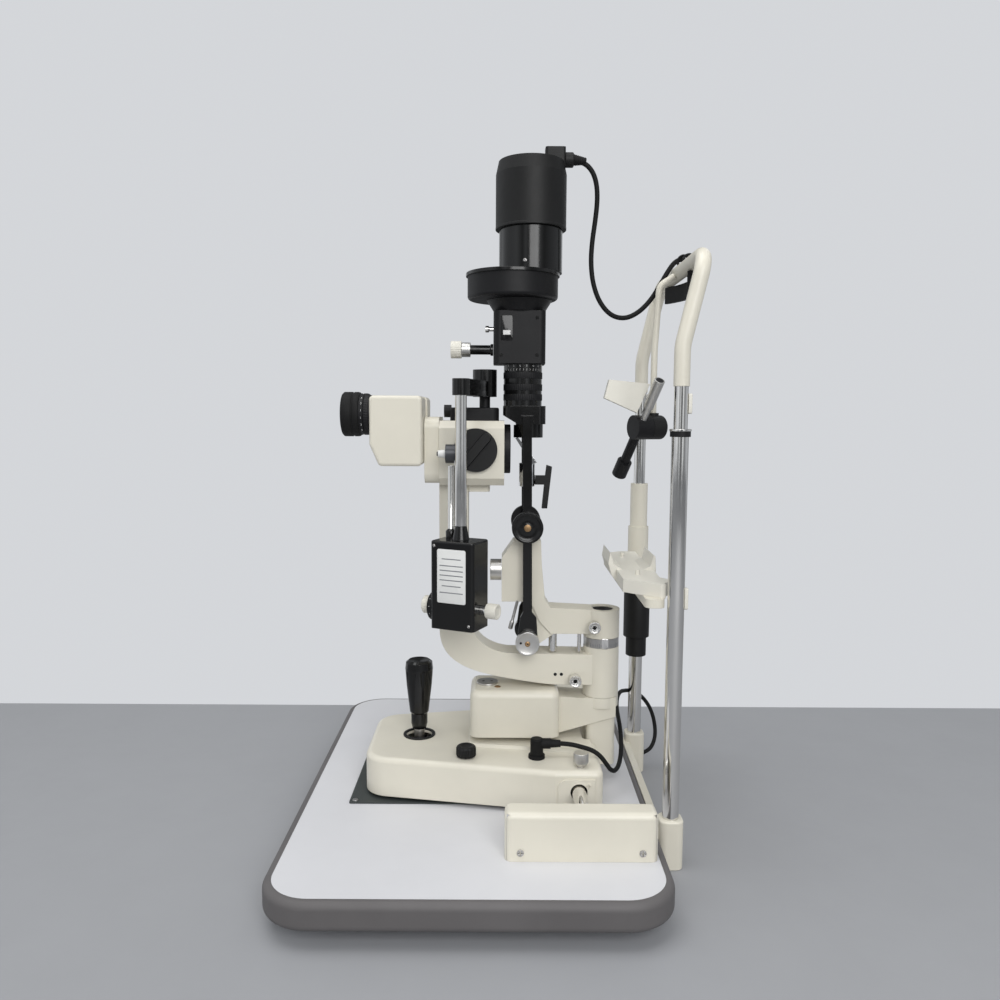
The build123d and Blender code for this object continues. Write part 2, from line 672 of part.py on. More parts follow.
# Prism housings and eyepieces, one each side of the middle
def prism_housing(side):
    with BuildPart() as housing:
        with BuildSketch(Plane.XZ.offset(-side * (EYE_Y - 20.5))):
            with BuildLine():
                Polyline((PRISM_X1, 392), (-103, 392), (PRISM_X0, 415), (PRISM_X0, 467),
                         (PRISM_X1, 467), close=True)
            make_face()
        extrude(amount=-side * 44)
        fillet(housing.edges().filter_by(Axis.Y), radius=5)
        fillet(housing.faces().sort_by(Axis.Y)[0 if side < 0 else -1].edges(), radius=3.5)
        with BuildSketch(Plane.YZ.offset(PRISM_X1 - 3)):
            with Locations((side * SPIGOT_Y, OPTIC_Z)):
                Circle(SPIGOT_R)
        extrude(amount=SPIGOT_LENGTH + 3)
    return housing.part


def eyepiece(side):
    with BuildPart() as ocular:
        with BuildSketch(Plane.YZ.offset(PRISM_X0)):
            with Locations((side * EYE_Y, EYE_Z)):
                Circle(21.5)
        extrude(amount=-12)
        with BuildSketch(Plane.YZ.offset(PRISM_X0 - 12)):
            with Locations((side * EYE_Y, EYE_Z)):
                Circle(EYECUP_R)
        extrude(amount=-19)
        fillet(ocular.faces().sort_by(Axis.X)[0].edges(), radius=3)
        with BuildSketch(Plane.YZ.offset(PRISM_X0 - 31)):
            with Locations((side * EYE_Y, EYE_Z)):
                Circle(EYECUP_R - 6)
        extrude(amount=9, mode=Mode.SUBTRACT)
    return ocular.part


for side, name in ((-1, "near"), (1, "far")):
    save(prism_housing(side), f"prism_housing_{name}")
    save(eyepiece(side), f"eyepiece_{name}")

# Tonometer: mount plate on the microscope, swing arm with rod, box, drum and feeler
TONO_BASE_Z = MIC_Z1
with BuildPart() as tonometer_mount:
    with BuildSketch(Plane.XY.offset(TONO_BASE_Z)):
        with Locations((-2, 0)):
            RectangleRounded(54, 44, 8)
    extrude(amount=14.5)
    fillet(tonometer_mount.faces().sort_by(Axis.Z)[-1].edges(), radius=2)
    with BuildSketch(Plane.XY.offset(TONO_BASE_Z + 14)):
        with Locations((TONO_PIVOT_X, 0)):
            Circle(6)
    extrude(amount=36)
    with BuildSketch(Plane.YZ.offset(-28.5)):
        with Locations((0, 451)):
            Circle(7)
    extrude(amount=-8)
save(tonometer_mount.part, "tonometer_mount")

arm_dx = TONO_ROD_X - TONO_PIVOT_X
arm_turn = degrees(atan2(TONO_ROD_Y, arm_dx))
arm_length = hypot(arm_dx, TONO_ROD_Y)
with BuildPart() as tonometer_arm:
    with BuildSketch(Plane.XY.offset(467)) as arm_plan:
        with Locations((TONO_PIVOT_X, 0)):
            Circle(13.5)
        with Locations((TONO_ROD_X, TONO_ROD_Y)):
            Circle(9)
        with Locations(Location(((TONO_PIVOT_X + TONO_ROD_X) / 2, TONO_ROD_Y / 2, 0),
                                (0, 0, arm_turn))):
            Rectangle(arm_length, 15)
    extrude(amount=17)
    with BuildSketch(Plane.XY.offset(484)):
        with Locations((TONO_PIVOT_X, 0)):
            Circle(13.5)
    extrude(amount=13)
    with BuildSketch(Plane.XY.offset(460)):
        with Locations((TONO_PIVOT_X, 0)):
            Circle(6 + RUN)
    extrude(amount=TONO_BASE_Z + 50.5 - 460, mode=Mode.SUBTRACT)
    with BuildSketch(Plane.XY.offset(TONO_Z1 + 14)):
        with Locations((TONO_ROD_X, TONO_ROD_Y)):
            Circle(6)
    extrude(amount=470 - TONO_Z1 - 14)
save(tonometer_arm.part, "tonometer_arm")


def tono_plane(z):
    turn = radians(-TONO_YAW)
    return Plane(origin=(TONO_BOX_X, TONO_BOX_Y, z), x_dir=(cos(turn), sin(turn), 0),
                 z_dir=(0, 0, 1))


with BuildPart() as tonometer_body:
    with BuildSketch(tono_plane(TONO_Z0)):
        RectangleRounded(TONO_W, TONO_D, 4)
    extrude(amount=TONO_Z1 - TONO_Z0)
    fillet(tonometer_body.faces().sort_by(Axis.Z)[-1].edges(), radius=2)
    with BuildSketch(Plane.XY.offset(TONO_Z1)):
        with Locations((TONO_ROD_X, TONO_ROD_Y)):
            Circle(9)
    extrude(amount=14, taper=12)
save(tonometer_body.part, "tonometer_body")

drum_turn = radians(-TONO_YAW)
drum_x = Vector(cos(drum_turn), sin(drum_turn), 0)
drum_centre = Vector(TONO_BOX_X, TONO_BOX_Y, TONO_Z0 + 20)


def drum_plane(distance):
    return Plane(origin=drum_centre + drum_x * distance, z_dir=drum_x)


with BuildPart() as tonometer_drum:
    with BuildSketch(drum_plane(-TONO_W / 2 - GAP)):
        Circle(15.5)
    extrude(amount=-6)
    with BuildSketch(drum_plane(-TONO_W / 2 - GAP - 6)):
        Circle(9)
    extrude(amount=-10)
    with BuildSketch(drum_plane(TONO_W / 2 + GAP)):
        Circle(6)
    extrude(amount=7)
    with BuildSketch(drum_plane(TONO_W / 2 + GAP + 7)):
        Circle(8)
    extrude(amount=12)
save(tonometer_drum.part, "tonometer_drum")

with BuildPart() as tonometer_feeler:
    with BuildSketch(Plane.XY.offset(TONO_Z1 + 0.3)):
        with Locations((TONO_ROD_X - 6, TONO_ROD_Y + 12)):
            Circle(1.7)
    extrude(amount=OPTIC_Z - TONO_Z1 - 8)
    with BuildSketch(Plane.YZ.offset(TONO_ROD_X - 17)):
        with Locations((TONO_ROD_Y + 18, OPTIC_Z - 3)):
            Circle(10)
    extrude(amount=14)
    with BuildSketch(Plane.YZ.offset(TONO_ROD_X - 17)):
        with Locations((TONO_ROD_Y + 18, OPTIC_Z - 3)):
            Circle(4.5)
    extrude(amount=-8, taper=6)
save(tonometer_feeler.part, "tonometer_feeler")

# Illumination arm: hub, beam and upright on the main axis
with BuildPart() as illumination_arm:
    with BuildSketch(Plane.XZ):
        with BuildLine():
            Polyline((AXIS_X, 200), (85, 200), (72, 214), (63, 234), (52, 237), (29, 237),
                     (29, 287), (42, 306), (73, 306), (74, 280), (78, 240), (84, 230),
                     (AXIS_X, 227), close=True)
        make_face()
    extrude(amount=15, both=True)
    with BuildSketch(Plane.XZ):
        with BuildLine():
            Polyline((66, 234), (88, 199), (66, 184), (50, 184), (50, 206), close=True)
        make_face()
    extrude(amount=13, both=True)
    with BuildSketch(Plane.XY.offset(SCALE_Z1)):
        with Locations((AXIS_X, 0)):
            Circle(HUB_R)
    extrude(amount=LAMP_HUB_Z1 - SCALE_Z1)
    with BuildSketch(Plane.XY.offset(SCALE_Z1)):
        with Locations((AXIS_X, 0)):
            Circle(AXIS_R + RUN)
    extrude(amount=LAMP_HUB_Z1 - SCALE_Z1, mode=Mode.SUBTRACT)
    with BuildSketch(Plane.XY.offset(LAMP_HUB_Z1 - 2.5)):
        with Locations((AXIS_X, 0)):
            Circle(13.5)
    extrude(amount=3, mode=Mode.SUBTRACT)
    with BuildSketch(Plane.XZ):
        with Locations((TILT_X, TILT_Z)):
            Circle(PIVOT_R + RUN)
    extrude(amount=16, both=True, mode=Mode.SUBTRACT)
save(illumination_arm.part, "illumination_arm")

with BuildPart() as centring_knob:
    with BuildSketch(Plane.YZ.offset(29 - GAP)):
        with Locations((-5, 272)):
            Circle(12)
    extrude(amount=-13)
    chamfer(centring_knob.edges().group_by(Axis.X)[0], length=1)
save(centring_knob.part, "centring_knob")

with BuildPart() as tilt_fork:
    for side in (-1, 1):
        with BuildSketch(Plane.XZ.offset(side * (FORK_Y - BAR_T / 2))):
            with BuildLine():
                Polyline((TILT_X - 12, TILT_Z - 3), (TILT_X + 12, TILT_Z - 3), (TILT_X + 10, 222),
                         (63, 228), (61, 446), (51, 446), (53, 228), (TILT_X - 8, 222), close=True)
            make_face()
        extrude(amount=side * BAR_T)
        with BuildSketch(Plane.XZ.offset(side * (FORK_Y + BAR_T / 2))):
            with Locations((TILT_X, TILT_Z)):
                Circle(13.3)
        extrude(amount=side * 8)
    with BuildSketch(Plane.XZ.offset(FORK_Y - BAR_T / 2)):
        with Locations((TILT_X, TILT_Z)):
            Circle(PIVOT_R)
    extrude(amount=-2 * FORK_Y + BAR_T)
save(tilt_fork.part, "tilt_fork")

with BuildPart() as slit_width_knobs:
    for side in (-1, 1):
        with BuildSketch(Plane.XZ.offset(side * (FORK_Y + BAR_T / 2 + GAP))):
            with Locations((57, WIDTH_KNOB_Z)):
                Circle(17.3)
        extrude(amount=side * 10)
save(slit_width_knobs.part, "slit_width_knobs")

with BuildPart() as mirror_unit:
    with BuildSketch(Plane.XZ):
        with BuildLine():
            Polyline((43, 421.9), (46.5, 421.9), (68, 394), (62, 392), close=True)
        make_face()
    extrude(amount=8, both=True)
    with BuildSketch(Plane.XY.offset(367)):
        with Locations((BEAM_X + 3, 0)):
            Circle(9)
    extrude(amount=26)
save(mirror_unit.part, "mirror_unit")

with BuildPart() as diffuser:
    with BuildSketch(Plane.XZ):
        with BuildLine():
            Polyline((74, 342), (80, 342), (85, 389), (79, 391), (77.5, 379), (66.5, 379),
                     (66, 369), (76.5, 369), close=True)
        make_face()
    extrude(amount=5, both=True)
save(diffuser.part, "diffuser")

with BuildPart() as lens_barrel:
    with BuildSketch(Plane.XY.offset(422)):
        with Locations((58, 0)):
            Circle(16.5)
    extrude(amount=15)
    with BuildSketch(Plane.XY.offset(437)):
        with Locations((53, 0)):
            RectangleRounded(47, 48, 8)
    extrude(amount=20)
    with BuildSketch(Plane.XZ):
        with BuildLine():
            Polyline((28, 436), (44, 436), (44, 438), (29, 447), (28, 447), close=True)
        make_face()
    extrude(amount=30, both=True, mode=Mode.SUBTRACT)
    with BuildSketch(Plane.XY.offset(BARREL_Z0)):
        with Locations((BARREL_X, 0)):
            Circle(BARREL_R)
    extrude(amount=BARREL_Z1 - BARREL_Z0)
    for side in (-1, 1):
        with BuildSketch(Plane.XZ.offset(side * (FORK_Y - BAR_T / 2 - 0.2))):
            with Locations((56, 442)):
                Rectangle(14, 9)
        extrude(amount=-side * 5)
save(lens_barrel.part, "lens_barrel")

with BuildPart() as filter_housing:
    with BuildSketch(Plane.XY.offset(BARREL_Z1)):
        with Locations((FILTER_X, 0)):
            RectangleRounded(57, 50, 7)
    extrude(amount=FILTER_Z1 - BARREL_Z1)
    with BuildSketch(Plane.XY.offset(FILTER_Z1)):
        with Locations((FILTER_X, 0)):
            Circle(28)
    with BuildSketch(Plane.XY.offset(DISC_Z0 - GAP)):
        with Locations((FILTER_X, 0)):
            Circle(36)
    loft()
save(filter_housing.part, "filter_housing")

with BuildPart() as filter_disc:
    with BuildSketch(Plane.XY.offset(DISC_Z0)):
        with Locations((DISC_X, 0)):
            Circle(DISC_R - 1.5)
    extrude(amount=DISC_Z1 - DISC_Z0 - 3.5)
    fillet(filter_disc.edges().sort_by(Axis.Z)[0], radius=4)
    with BuildSketch(Plane.XY.offset(DISC_Z1 - 3.5)):
        with Locations((DISC_X, 0)):
            Circle(DISC_R)
    extrude(amount=3.5)
save(filter_disc.part, "filter_disc")

with BuildPart() as slit_control:
    for x0, x1, radius in ((-29, -17, 9.5), (-17, -7, 8), (-7, 18.2, 6.5)):
        with BuildSketch(Plane.YZ.offset(x0)):
            with Locations((0, 519)):
                Circle(radius)
        extrude(amount=x1 - x0)
save(slit_control.part, "slit_control")

with BuildPart() as lamp_housing:
    with BuildSketch(Plane.XY.offset(DISC_Z1 + GAP)):
        with Locations((LAMP_X, 0)):
            Circle(LAMP_R)
    extrude(amount=LAMP_Z1 - DISC_Z1 - GAP)
save(lamp_housing.part, "lamp_housing")

with BuildPart() as lamp_cap:
    with BuildSketch(Plane.XY.offset(CAP_Z0)):
        with Locations((LAMP_X, 0)):
            Circle(CAP_R)
    extrude(amount=CAP_Z1 - CAP_Z0)
    chamfer(lamp_cap.edges().sort_by(Axis.Z)[-1], length=14, length2=3)
    with BuildSketch(Plane.XY.offset(CAP_Z0)):
        with Locations((LAMP_X, 0)):
            Circle(LAMP_R)
    extrude(amount=LAMP_Z1 - CAP_Z0, mode=Mode.SUBTRACT)
    with BuildSketch(Plane.XY.offset(CAP_Z1 - 4)):
        with Locations((SOCKET_X, 0)):
            RectangleRounded(SOCKET_LENGTH, 18, 3)
    extrude(amount=SOCKET_RISE + 4)
    with BuildSketch(Plane.YZ.offset(SOCKET_X + SOCKET_LENGTH / 2)):
        with Locations((0, CAP_Z1 + SOCKET_RISE - 12)):
            Circle(CONNECTOR_R)
    extrude(amount=CONNECTOR_LENGTH)
    fillet(lamp_cap.edges().filter_by(GeomType.CIRCLE).sort_by(Axis.X)[-1], radius=1.5)
save(lamp_cap.part, "lamp_cap")

# Lock knobs on the arms
with BuildPart() as microscope_lock_knob:
    with BuildSketch(Plane.XZ.offset(MIC_ARM_HALF_Y + 0.1)):
        with Locations((112.5, 149)):
            Circle(7)
    extrude(amount=14)
save(microscope_lock_knob.part, "microscope_lock_knob")

with BuildPart() as illumination_lock_knob:
    with BuildSketch(Plane.XZ.offset(HUB_R + 0.3)):
        with Locations((133, 211)):
            Circle(7)
    extrude(amount=12)
save(illumination_lock_knob.part, "illumination_lock_knob")

# Headrest frame: bar along the table's edge with a clamp socket at each end
with BuildPart() as headrest_frame:
    for side in (-1, 1):
        with BuildSketch(Plane.XY.offset(SOCKET_Z0)):
            with Locations((COLUMN_X, side * COLUMN_Y)):
                RectangleRounded(2 * SOCKET_R, 2 * SOCKET_R, 8)
        extrude(amount=SOCKET_Z1 - SOCKET_Z0)
    fillet(headrest_frame.faces().group_by(Axis.Z)[-1].edges(), radius=2)
    with BuildSketch(Plane.XY.offset(2)):
        with Locations((TABLE_X / 2 + 0.2 + 4, 0)):
            Rectangle(8, 2 * COLUMN_Y + 10)
    extrude(amount=22)
    for side in (-1, 1):
        with BuildSketch(Plane.XY.offset(SOCKET_Z0 + 12)):
            with Locations((COLUMN_X, side * COLUMN_Y)):
                Circle(COLUMN_R)
        extrude(amount=60, mode=Mode.SUBTRACT)
save(headrest_frame.part, "headrest_frame")

with BuildPart() as headrest_columns:
    with BuildSketch(Plane.XY.offset(SOCKET_Z0 + 12)):
        with Locations((COLUMN_X, -COLUMN_Y)):
            Circle(COLUMN_R)
    extrude(amount=NEAR_COLUMN_Z1 - SOCKET_Z0 - 12)
    with BuildSketch(Plane.XY.offset(NEAR_COLUMN_Z1)):
        with Locations((COLUMN_X, -COLUMN_Y)):
            Circle(UPPER_R)
    extrude(amount=UPPER_Z1 - NEAR_COLUMN_Z1)
    with BuildSketch(Plane.XY.offset(SOCKET_Z0 + 12)):
        with Locations((COLUMN_X, COLUMN_Y)):
            Circle(COLUMN_R)
    extrude(amount=137.5 - SOCKET_Z0 - 12)
    with BuildSketch(Plane.XY.offset(137.5)):
        with Locations((COLUMN_X, COLUMN_Y)):
            Circle(UPPER_R)
    extrude(amount=UPPER_Z1 - 137.5)
save(headrest_columns.part, "headrest_columns")

# Head arch: bent tube from column to column, leaning to the patient
arch_points = [
    (COLUMN_X, -COLUMN_Y, UPPER_Z1), (COLUMN_X, -COLUMN_Y, 515),
    (COLUMN_X + 21, -COLUMN_Y, ARCH_TOP), (COLUMN_X + 21, COLUMN_Y, ARCH_TOP),
    (COLUMN_X, COLUMN_Y, 515), (COLUMN_X, COLUMN_Y, UPPER_Z1),
]
with BuildPart() as head_arch:
    with BuildLine() as arch_path:
        FilletPolyline(*arch_points, radius=[60, 24, 24, 60])
    with BuildSketch(Plane(origin=arch_path.line @ 0, z_dir=arch_path.line % 0)):
        Circle(ARCH_R)
    sweep()
save(head_arch.part, "head_arch")

with BuildPart() as forehead_band:
    with BuildSketch(Plane.XY.offset(ARCH_TOP - ARCH_R - 19)) as band:
        with BuildLine():
            near_arc = ThreePointArc((COLUMN_X + 18, -60), (COLUMN_X + 34, 0), (COLUMN_X + 18, 60))
            offset(near_arc, amount=2.5)
        make_face()
    extrude(amount=18.5)
save(forehead_band.part, "forehead_band")

# Fixation lamp: rod from the crossbar, joint drum, lamp tube and shade
rod_points = [
    (COLUMN_X + 14.2, 0, ARCH_TOP - 4.4), (COLUMN_X - 2, 0, 590.1), (COLUMN_X - 6, 0, 520),
    (COLUMN_X - 6, 0, JOINT_Z + 12.3),
]
with BuildPart() as fixation_rod:
    with BuildLine() as rod_path:
        FilletPolyline(*rod_points, radius=[12, 60])
    with BuildSketch(Plane(origin=rod_path.line @ 0, z_dir=rod_path.line % 0)):
        Circle(3.6)
    sweep()
save(fixation_rod.part, "fixation_rod")

joint_turn = radians(22)
joint_x = Vector(-cos(joint_turn), -sin(joint_turn), 0)
joint_centre = Vector(COLUMN_X - 2, -1, JOINT_Z)
with BuildPart() as fixation_joint:
    with BuildSketch(Plane(origin=joint_centre - joint_x * 8, z_dir=joint_x)):
        Circle(13.5)
    extrude(amount=18)
    fillet(fixation_joint.edges().filter_by(GeomType.CIRCLE).sort_by(Axis.X)[-1], radius=4)
    with BuildSketch(Plane.XY.offset(JOINT_Z + 12)):
        with Locations((COLUMN_X - 6, 0)):
            Circle(6.4)
    extrude(amount=4)
    with BuildSketch(Plane.XY.offset(JOINT_Z + 11)):
        with Locations((COLUMN_X - 6, 0)):
            Circle(3.6 + RUN)
    extrude(amount=6, mode=Mode.SUBTRACT)
save(fixation_joint.part, "fixation_joint")

tube_x = Vector(0.27, -0.667, 0.925).normalized()
tube_centre = joint_centre + joint_x * 22
with BuildPart() as fixation_lamp:
    with BuildSketch(Plane(origin=joint_centre + joint_x * (10 + GAP), z_dir=joint_x)):
        Circle(13.5)
    extrude(amount=20)
    with BuildSketch(Plane(origin=tube_centre, z_dir=tube_x)):
        Circle(4.5)
    extrude(amount=30)
    with BuildSketch(Plane(origin=tube_centre + tube_x * 28, z_dir=tube_x)):
        Circle(5.7)
    extrude(amount=36)
    with BuildSketch(Plane(origin=tube_centre, z_dir=-tube_x)):
        Circle(5.5)
    extrude(amount=50)
    with BuildSketch(Plane(origin=tube_centre - tube_x * 50, z_dir=-tube_x)):
        Circle(8.5)
    extrude(amount=20)
    with BuildSketch(Plane.XZ.offset(-SHADE_Y)):
        with BuildLine():
            Polyline((145, 486), (189.5, 481.5), (176, 450), (140, 466), close=True)
        make_face()
    extrude(amount=-11)
    with BuildSketch(Plane.XZ.offset(-SHADE_Y - 1.5)):
        with BuildLine():
            Polyline((146.5, 484.3), (187, 480), (176, 452), (142, 466.8), close=True)
        make_face()
    extrude(amount=-10, mode=Mode.SUBTRACT)
    shade_arm = tube_centre + tube_x * 42
    with BuildSketch(Plane.XZ.offset(-shade_arm.Y)):
        with Locations((shade_arm.X - 3, shade_arm.Z)):
            Rectangle(7, 6)
    extrude(amount=-(SHADE_Y + 1 - shade_arm.Y))
save(fixation_lamp.part, "fixation_lamp")

# Chin rest: sleeve on the far column, bar across to the near one, moulded cup with its pins
with BuildPart() as chin_carrier:
    with BuildSketch(Plane.XY.offset(CHIN_Z - 8)):
        with Locations((COLUMN_X - 20, 0)):
            RectangleRounded(20, 2 * COLUMN_Y, 8)
        with Locations((COLUMN_X - 8, COLUMN_Y - 2)):
            RectangleRounded(28, 24, 6)
        with Locations((COLUMN_X, COLUMN_Y)):
            Circle(12)
        with Locations((COLUMN_X, COLUMN_Y)):
            Circle(UPPER_R + RUN, mode=Mode.SUBTRACT)
    extrude(amount=9)
    with BuildSketch(Plane.XY.offset(CHIN_Z - 8)):
        with Locations((COLUMN_X, COLUMN_Y)):
            Circle(12.8)
            Circle(UPPER_R + RUN, mode=Mode.SUBTRACT)
    extrude(amount=52)
    with BuildSketch(Plane.XY.offset(CHIN_Z + 44)):
        with Locations((COLUMN_X, COLUMN_Y)):
            Circle(10.8)
            Circle(UPPER_R + RUN, mode=Mode.SUBTRACT)
    extrude(amount=55)
save(chin_carrier.part, "chin_carrier")

cup_half = [(156, 30), (156, 83), (190, 113), (195, 113), (195, 104), (203, 98), (203, 84),
            (196, 73), (197, 30)]
cup_far = [(197, 30), (196, 73), (197, 96), (178, 98), (156, 83), (156, 30)]
with BuildPart() as chin_cup:
    with BuildSketch(Plane.XY.offset(CHIN_Z + 1.05)):
        with BuildLine():
            Polyline(*[(x, -y) for x, y in cup_half], *cup_far, close=True)
        make_face()
    extrude(amount=14)
    with BuildSketch(Plane.XZ.offset(-30)):
        with BuildLine():
            Polyline((149, 296), (147, 284), (151, 270), (156, 264), (197, 264), (200, 276),
                     (199, 292), (197, 293), (194, 281), (184, 276.5), (164, 276.5), (154, 282),
                     close=True)
        make_face()
    extrude(amount=60)
    with BuildSketch(Plane.XY.offset(CHIN_Z + 15)):
        with Locations((175, -58), (175, 58)):
            Circle(2.6)
    extrude(amount=5)
save(chin_cup.part, "chin_cup")

with BuildPart() as chin_knob:
    with BuildSketch(Plane.XY.offset(224)):
        with Locations((COLUMN_X, COLUMN_Y)):
            Circle(16.5)
            Circle(UPPER_R + RUN, mode=Mode.SUBTRACT)
    extrude(amount=-61)
    with BuildSketch(Plane.XY.offset(163)):
        with Locations((COLUMN_X, COLUMN_Y)):
            Circle(13)
            Circle(UPPER_R + RUN, mode=Mode.SUBTRACT)
    extrude(amount=-25)
save(chin_knob.part, "chin_knob")

# Right-angle plug on the base, with its strain relief
with BuildPart() as base_plug:
    with BuildSketch(Plane.XY.offset(BASE_Z1 + 0.05)):
        with Locations((68, -66)):
            Circle(9)
    extrude(amount=3.5)
    with BuildSketch(Plane.XY.offset(BASE_Z1 + 3)):
        with Locations((68, -66)):
            Circle(7)
    extrude(amount=19)
    fillet(base_plug.faces().sort_by(Axis.Z)[-1].edges(), radius=2)
    with BuildSketch(Plane.YZ.offset(68)):
        with Locations((-66, BASE_Z1 + 16)):
            Circle(5.6)
    extrude(amount=15)
    with BuildSketch(Plane.YZ.offset(83)):
        with Locations((-66, BASE_Z1 + 16)):
            Circle(4.6)
    extrude(amount=10.8, taper=4)
save(base_plug.part, "base_plug")
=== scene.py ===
import json
import math

import bmesh
import bpy
from mathutils import Matrix, Vector


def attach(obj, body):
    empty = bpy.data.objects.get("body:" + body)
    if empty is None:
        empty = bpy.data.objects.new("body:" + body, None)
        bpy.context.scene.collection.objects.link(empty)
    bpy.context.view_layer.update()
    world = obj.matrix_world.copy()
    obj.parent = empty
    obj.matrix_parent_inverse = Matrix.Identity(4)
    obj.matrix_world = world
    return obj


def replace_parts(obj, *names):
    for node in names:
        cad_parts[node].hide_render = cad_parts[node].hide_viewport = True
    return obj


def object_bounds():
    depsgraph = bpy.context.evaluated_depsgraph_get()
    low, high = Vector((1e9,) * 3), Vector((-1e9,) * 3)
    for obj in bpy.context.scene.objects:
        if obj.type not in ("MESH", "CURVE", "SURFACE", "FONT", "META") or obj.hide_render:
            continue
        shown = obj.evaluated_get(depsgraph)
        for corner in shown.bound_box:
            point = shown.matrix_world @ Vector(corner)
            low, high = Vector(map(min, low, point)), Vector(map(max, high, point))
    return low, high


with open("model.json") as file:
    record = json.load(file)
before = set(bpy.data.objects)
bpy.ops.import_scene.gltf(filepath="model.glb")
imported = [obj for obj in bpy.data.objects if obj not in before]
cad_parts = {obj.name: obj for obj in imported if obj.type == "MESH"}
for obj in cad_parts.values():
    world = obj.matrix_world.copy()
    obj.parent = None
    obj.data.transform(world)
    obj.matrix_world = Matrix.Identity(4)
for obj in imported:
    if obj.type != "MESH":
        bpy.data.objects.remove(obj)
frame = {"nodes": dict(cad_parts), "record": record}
CAD_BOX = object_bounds()
NODES = frame["nodes"]
RECORD = frame["record"]
BODY_OF = {node: body for body, nodes in RECORD["behaviour"]["bodies"].items() for node in nodes}
UP = Vector((0, 0, 1))
MM = Matrix.Scale(0.001, 4)


def show(name, data):
    piece = bpy.data.objects.new(name, data)
    bpy.context.scene.collection.objects.link(piece)
    return piece


# The camera stands where the photograph was taken from
CAMERA_PLACE = (0.0266, -0.960, 0.448)
CAMERA_PITCH = math.radians(90 - 5.777)
CAMERA_ROLL = math.radians(0.3)
camera_data = bpy.data.cameras.new("camera")
camera_data.sensor_width = 36
camera_data.sensor_height = 36
camera_data.lens = 30.6
camera = show("camera", camera_data)
camera.matrix_world = (Matrix.Translation(CAMERA_PLACE) @ Matrix.Rotation(CAMERA_PITCH, 4, "X")
                       @ Matrix.Rotation(CAMERA_ROLL, 4, "Z"))
bpy.context.scene.camera = camera
bpy.context.scene.view_settings.view_transform = "Standard"


class Graph:
    """A material's nodes, with short helpers for the links that repeat."""

    def __init__(self, name):
        self.material = bpy.data.materials.new(name)
        self.material.use_nodes = True
        self.tree = self.material.node_tree
        self.shader = self.tree.nodes["Principled BSDF"]
        self.place = self.add("ShaderNodeTexCoord").outputs["Object"]

    def add(self, kind, **inputs):
        node = self.tree.nodes.new(kind)
        for name, value in inputs.items():
            node.inputs[name.replace("_", " ")].default_value = value
        return node

    def link(self, source, target):
        self.tree.links.new(source, target)

    def noise(self, scale, detail):
        node = self.add("ShaderNodeTexNoise", Scale=scale, Detail=detail, Roughness=0.55)
        self.link(self.place, node.inputs["Vector"])
        return node.outputs["Fac"]

    def ramp(self, source, low, high):
        node = self.add("ShaderNodeValToRGB")
        for element, stop, colour in zip(node.color_ramp.elements, (0.35, 0.65), (low, high)):
            element.position = stop
            element.color = (*colour, 1)
        self.link(source, node.inputs["Fac"])
        return node.outputs["Color"]

    def span(self, source, low, high):
        node = self.add("ShaderNodeMapRange", To_Min=low, To_Max=high)
        self.link(source, node.inputs["Value"])
        return node.outputs["Result"]

    def soften(self, radius):
        """Edges catch light over a small radius, as broken edges do."""
        node = self.add("ShaderNodeBevel", Radius=radius)
        node.samples = 4
        self.link(node.outputs["Normal"], self.shader.inputs["Normal"])
        return node.outputs["Normal"]

    def bump(self, source, strength, distance, normal):
        node = self.add("ShaderNodeBump", Strength=strength, Distance=distance)
        self.link(source, node.inputs["Height"])
        self.link(normal, node.inputs["Normal"])
        self.link(node.outputs["Normal"], self.shader.inputs["Normal"])


EDGE_RADIUS = 0.0007
GRAIN_DEPTH = 0.0002
DRIFT_SCALE = 14.0
GLOSS_SCALE = 60.0


def tone(colour, factor):
    return tuple(min(1.0, channel * factor) for channel in colour)


def surface(name, colour, rough, vary=0.05, metallic=0.0, grain=900.0, bump=0.15, coat=0.0,
            specular=0.5):
    """Painted, moulded or metal surface: slow colour drift, uneven gloss and a fine grain."""
    graph = Graph(name)
    drift = graph.noise(DRIFT_SCALE, 4.0)
    graph.link(graph.ramp(drift, tone(colour, 1 - vary), tone(colour, 1 + vary)),
               graph.shader.inputs["Base Color"])
    graph.link(graph.span(graph.noise(GLOSS_SCALE, 5.0), rough - 0.05, rough + 0.07),
               graph.shader.inputs["Roughness"])
    graph.shader.inputs["Metallic"].default_value = metallic
    graph.shader.inputs["Coat Weight"].default_value = coat
    graph.shader.inputs["Specular IOR Level"].default_value = specular
    softened = graph.soften(EDGE_RADIUS)
    if bump:
        graph.bump(graph.noise(grain, 2.0), bump, GRAIN_DEPTH, softened)
    return graph.material


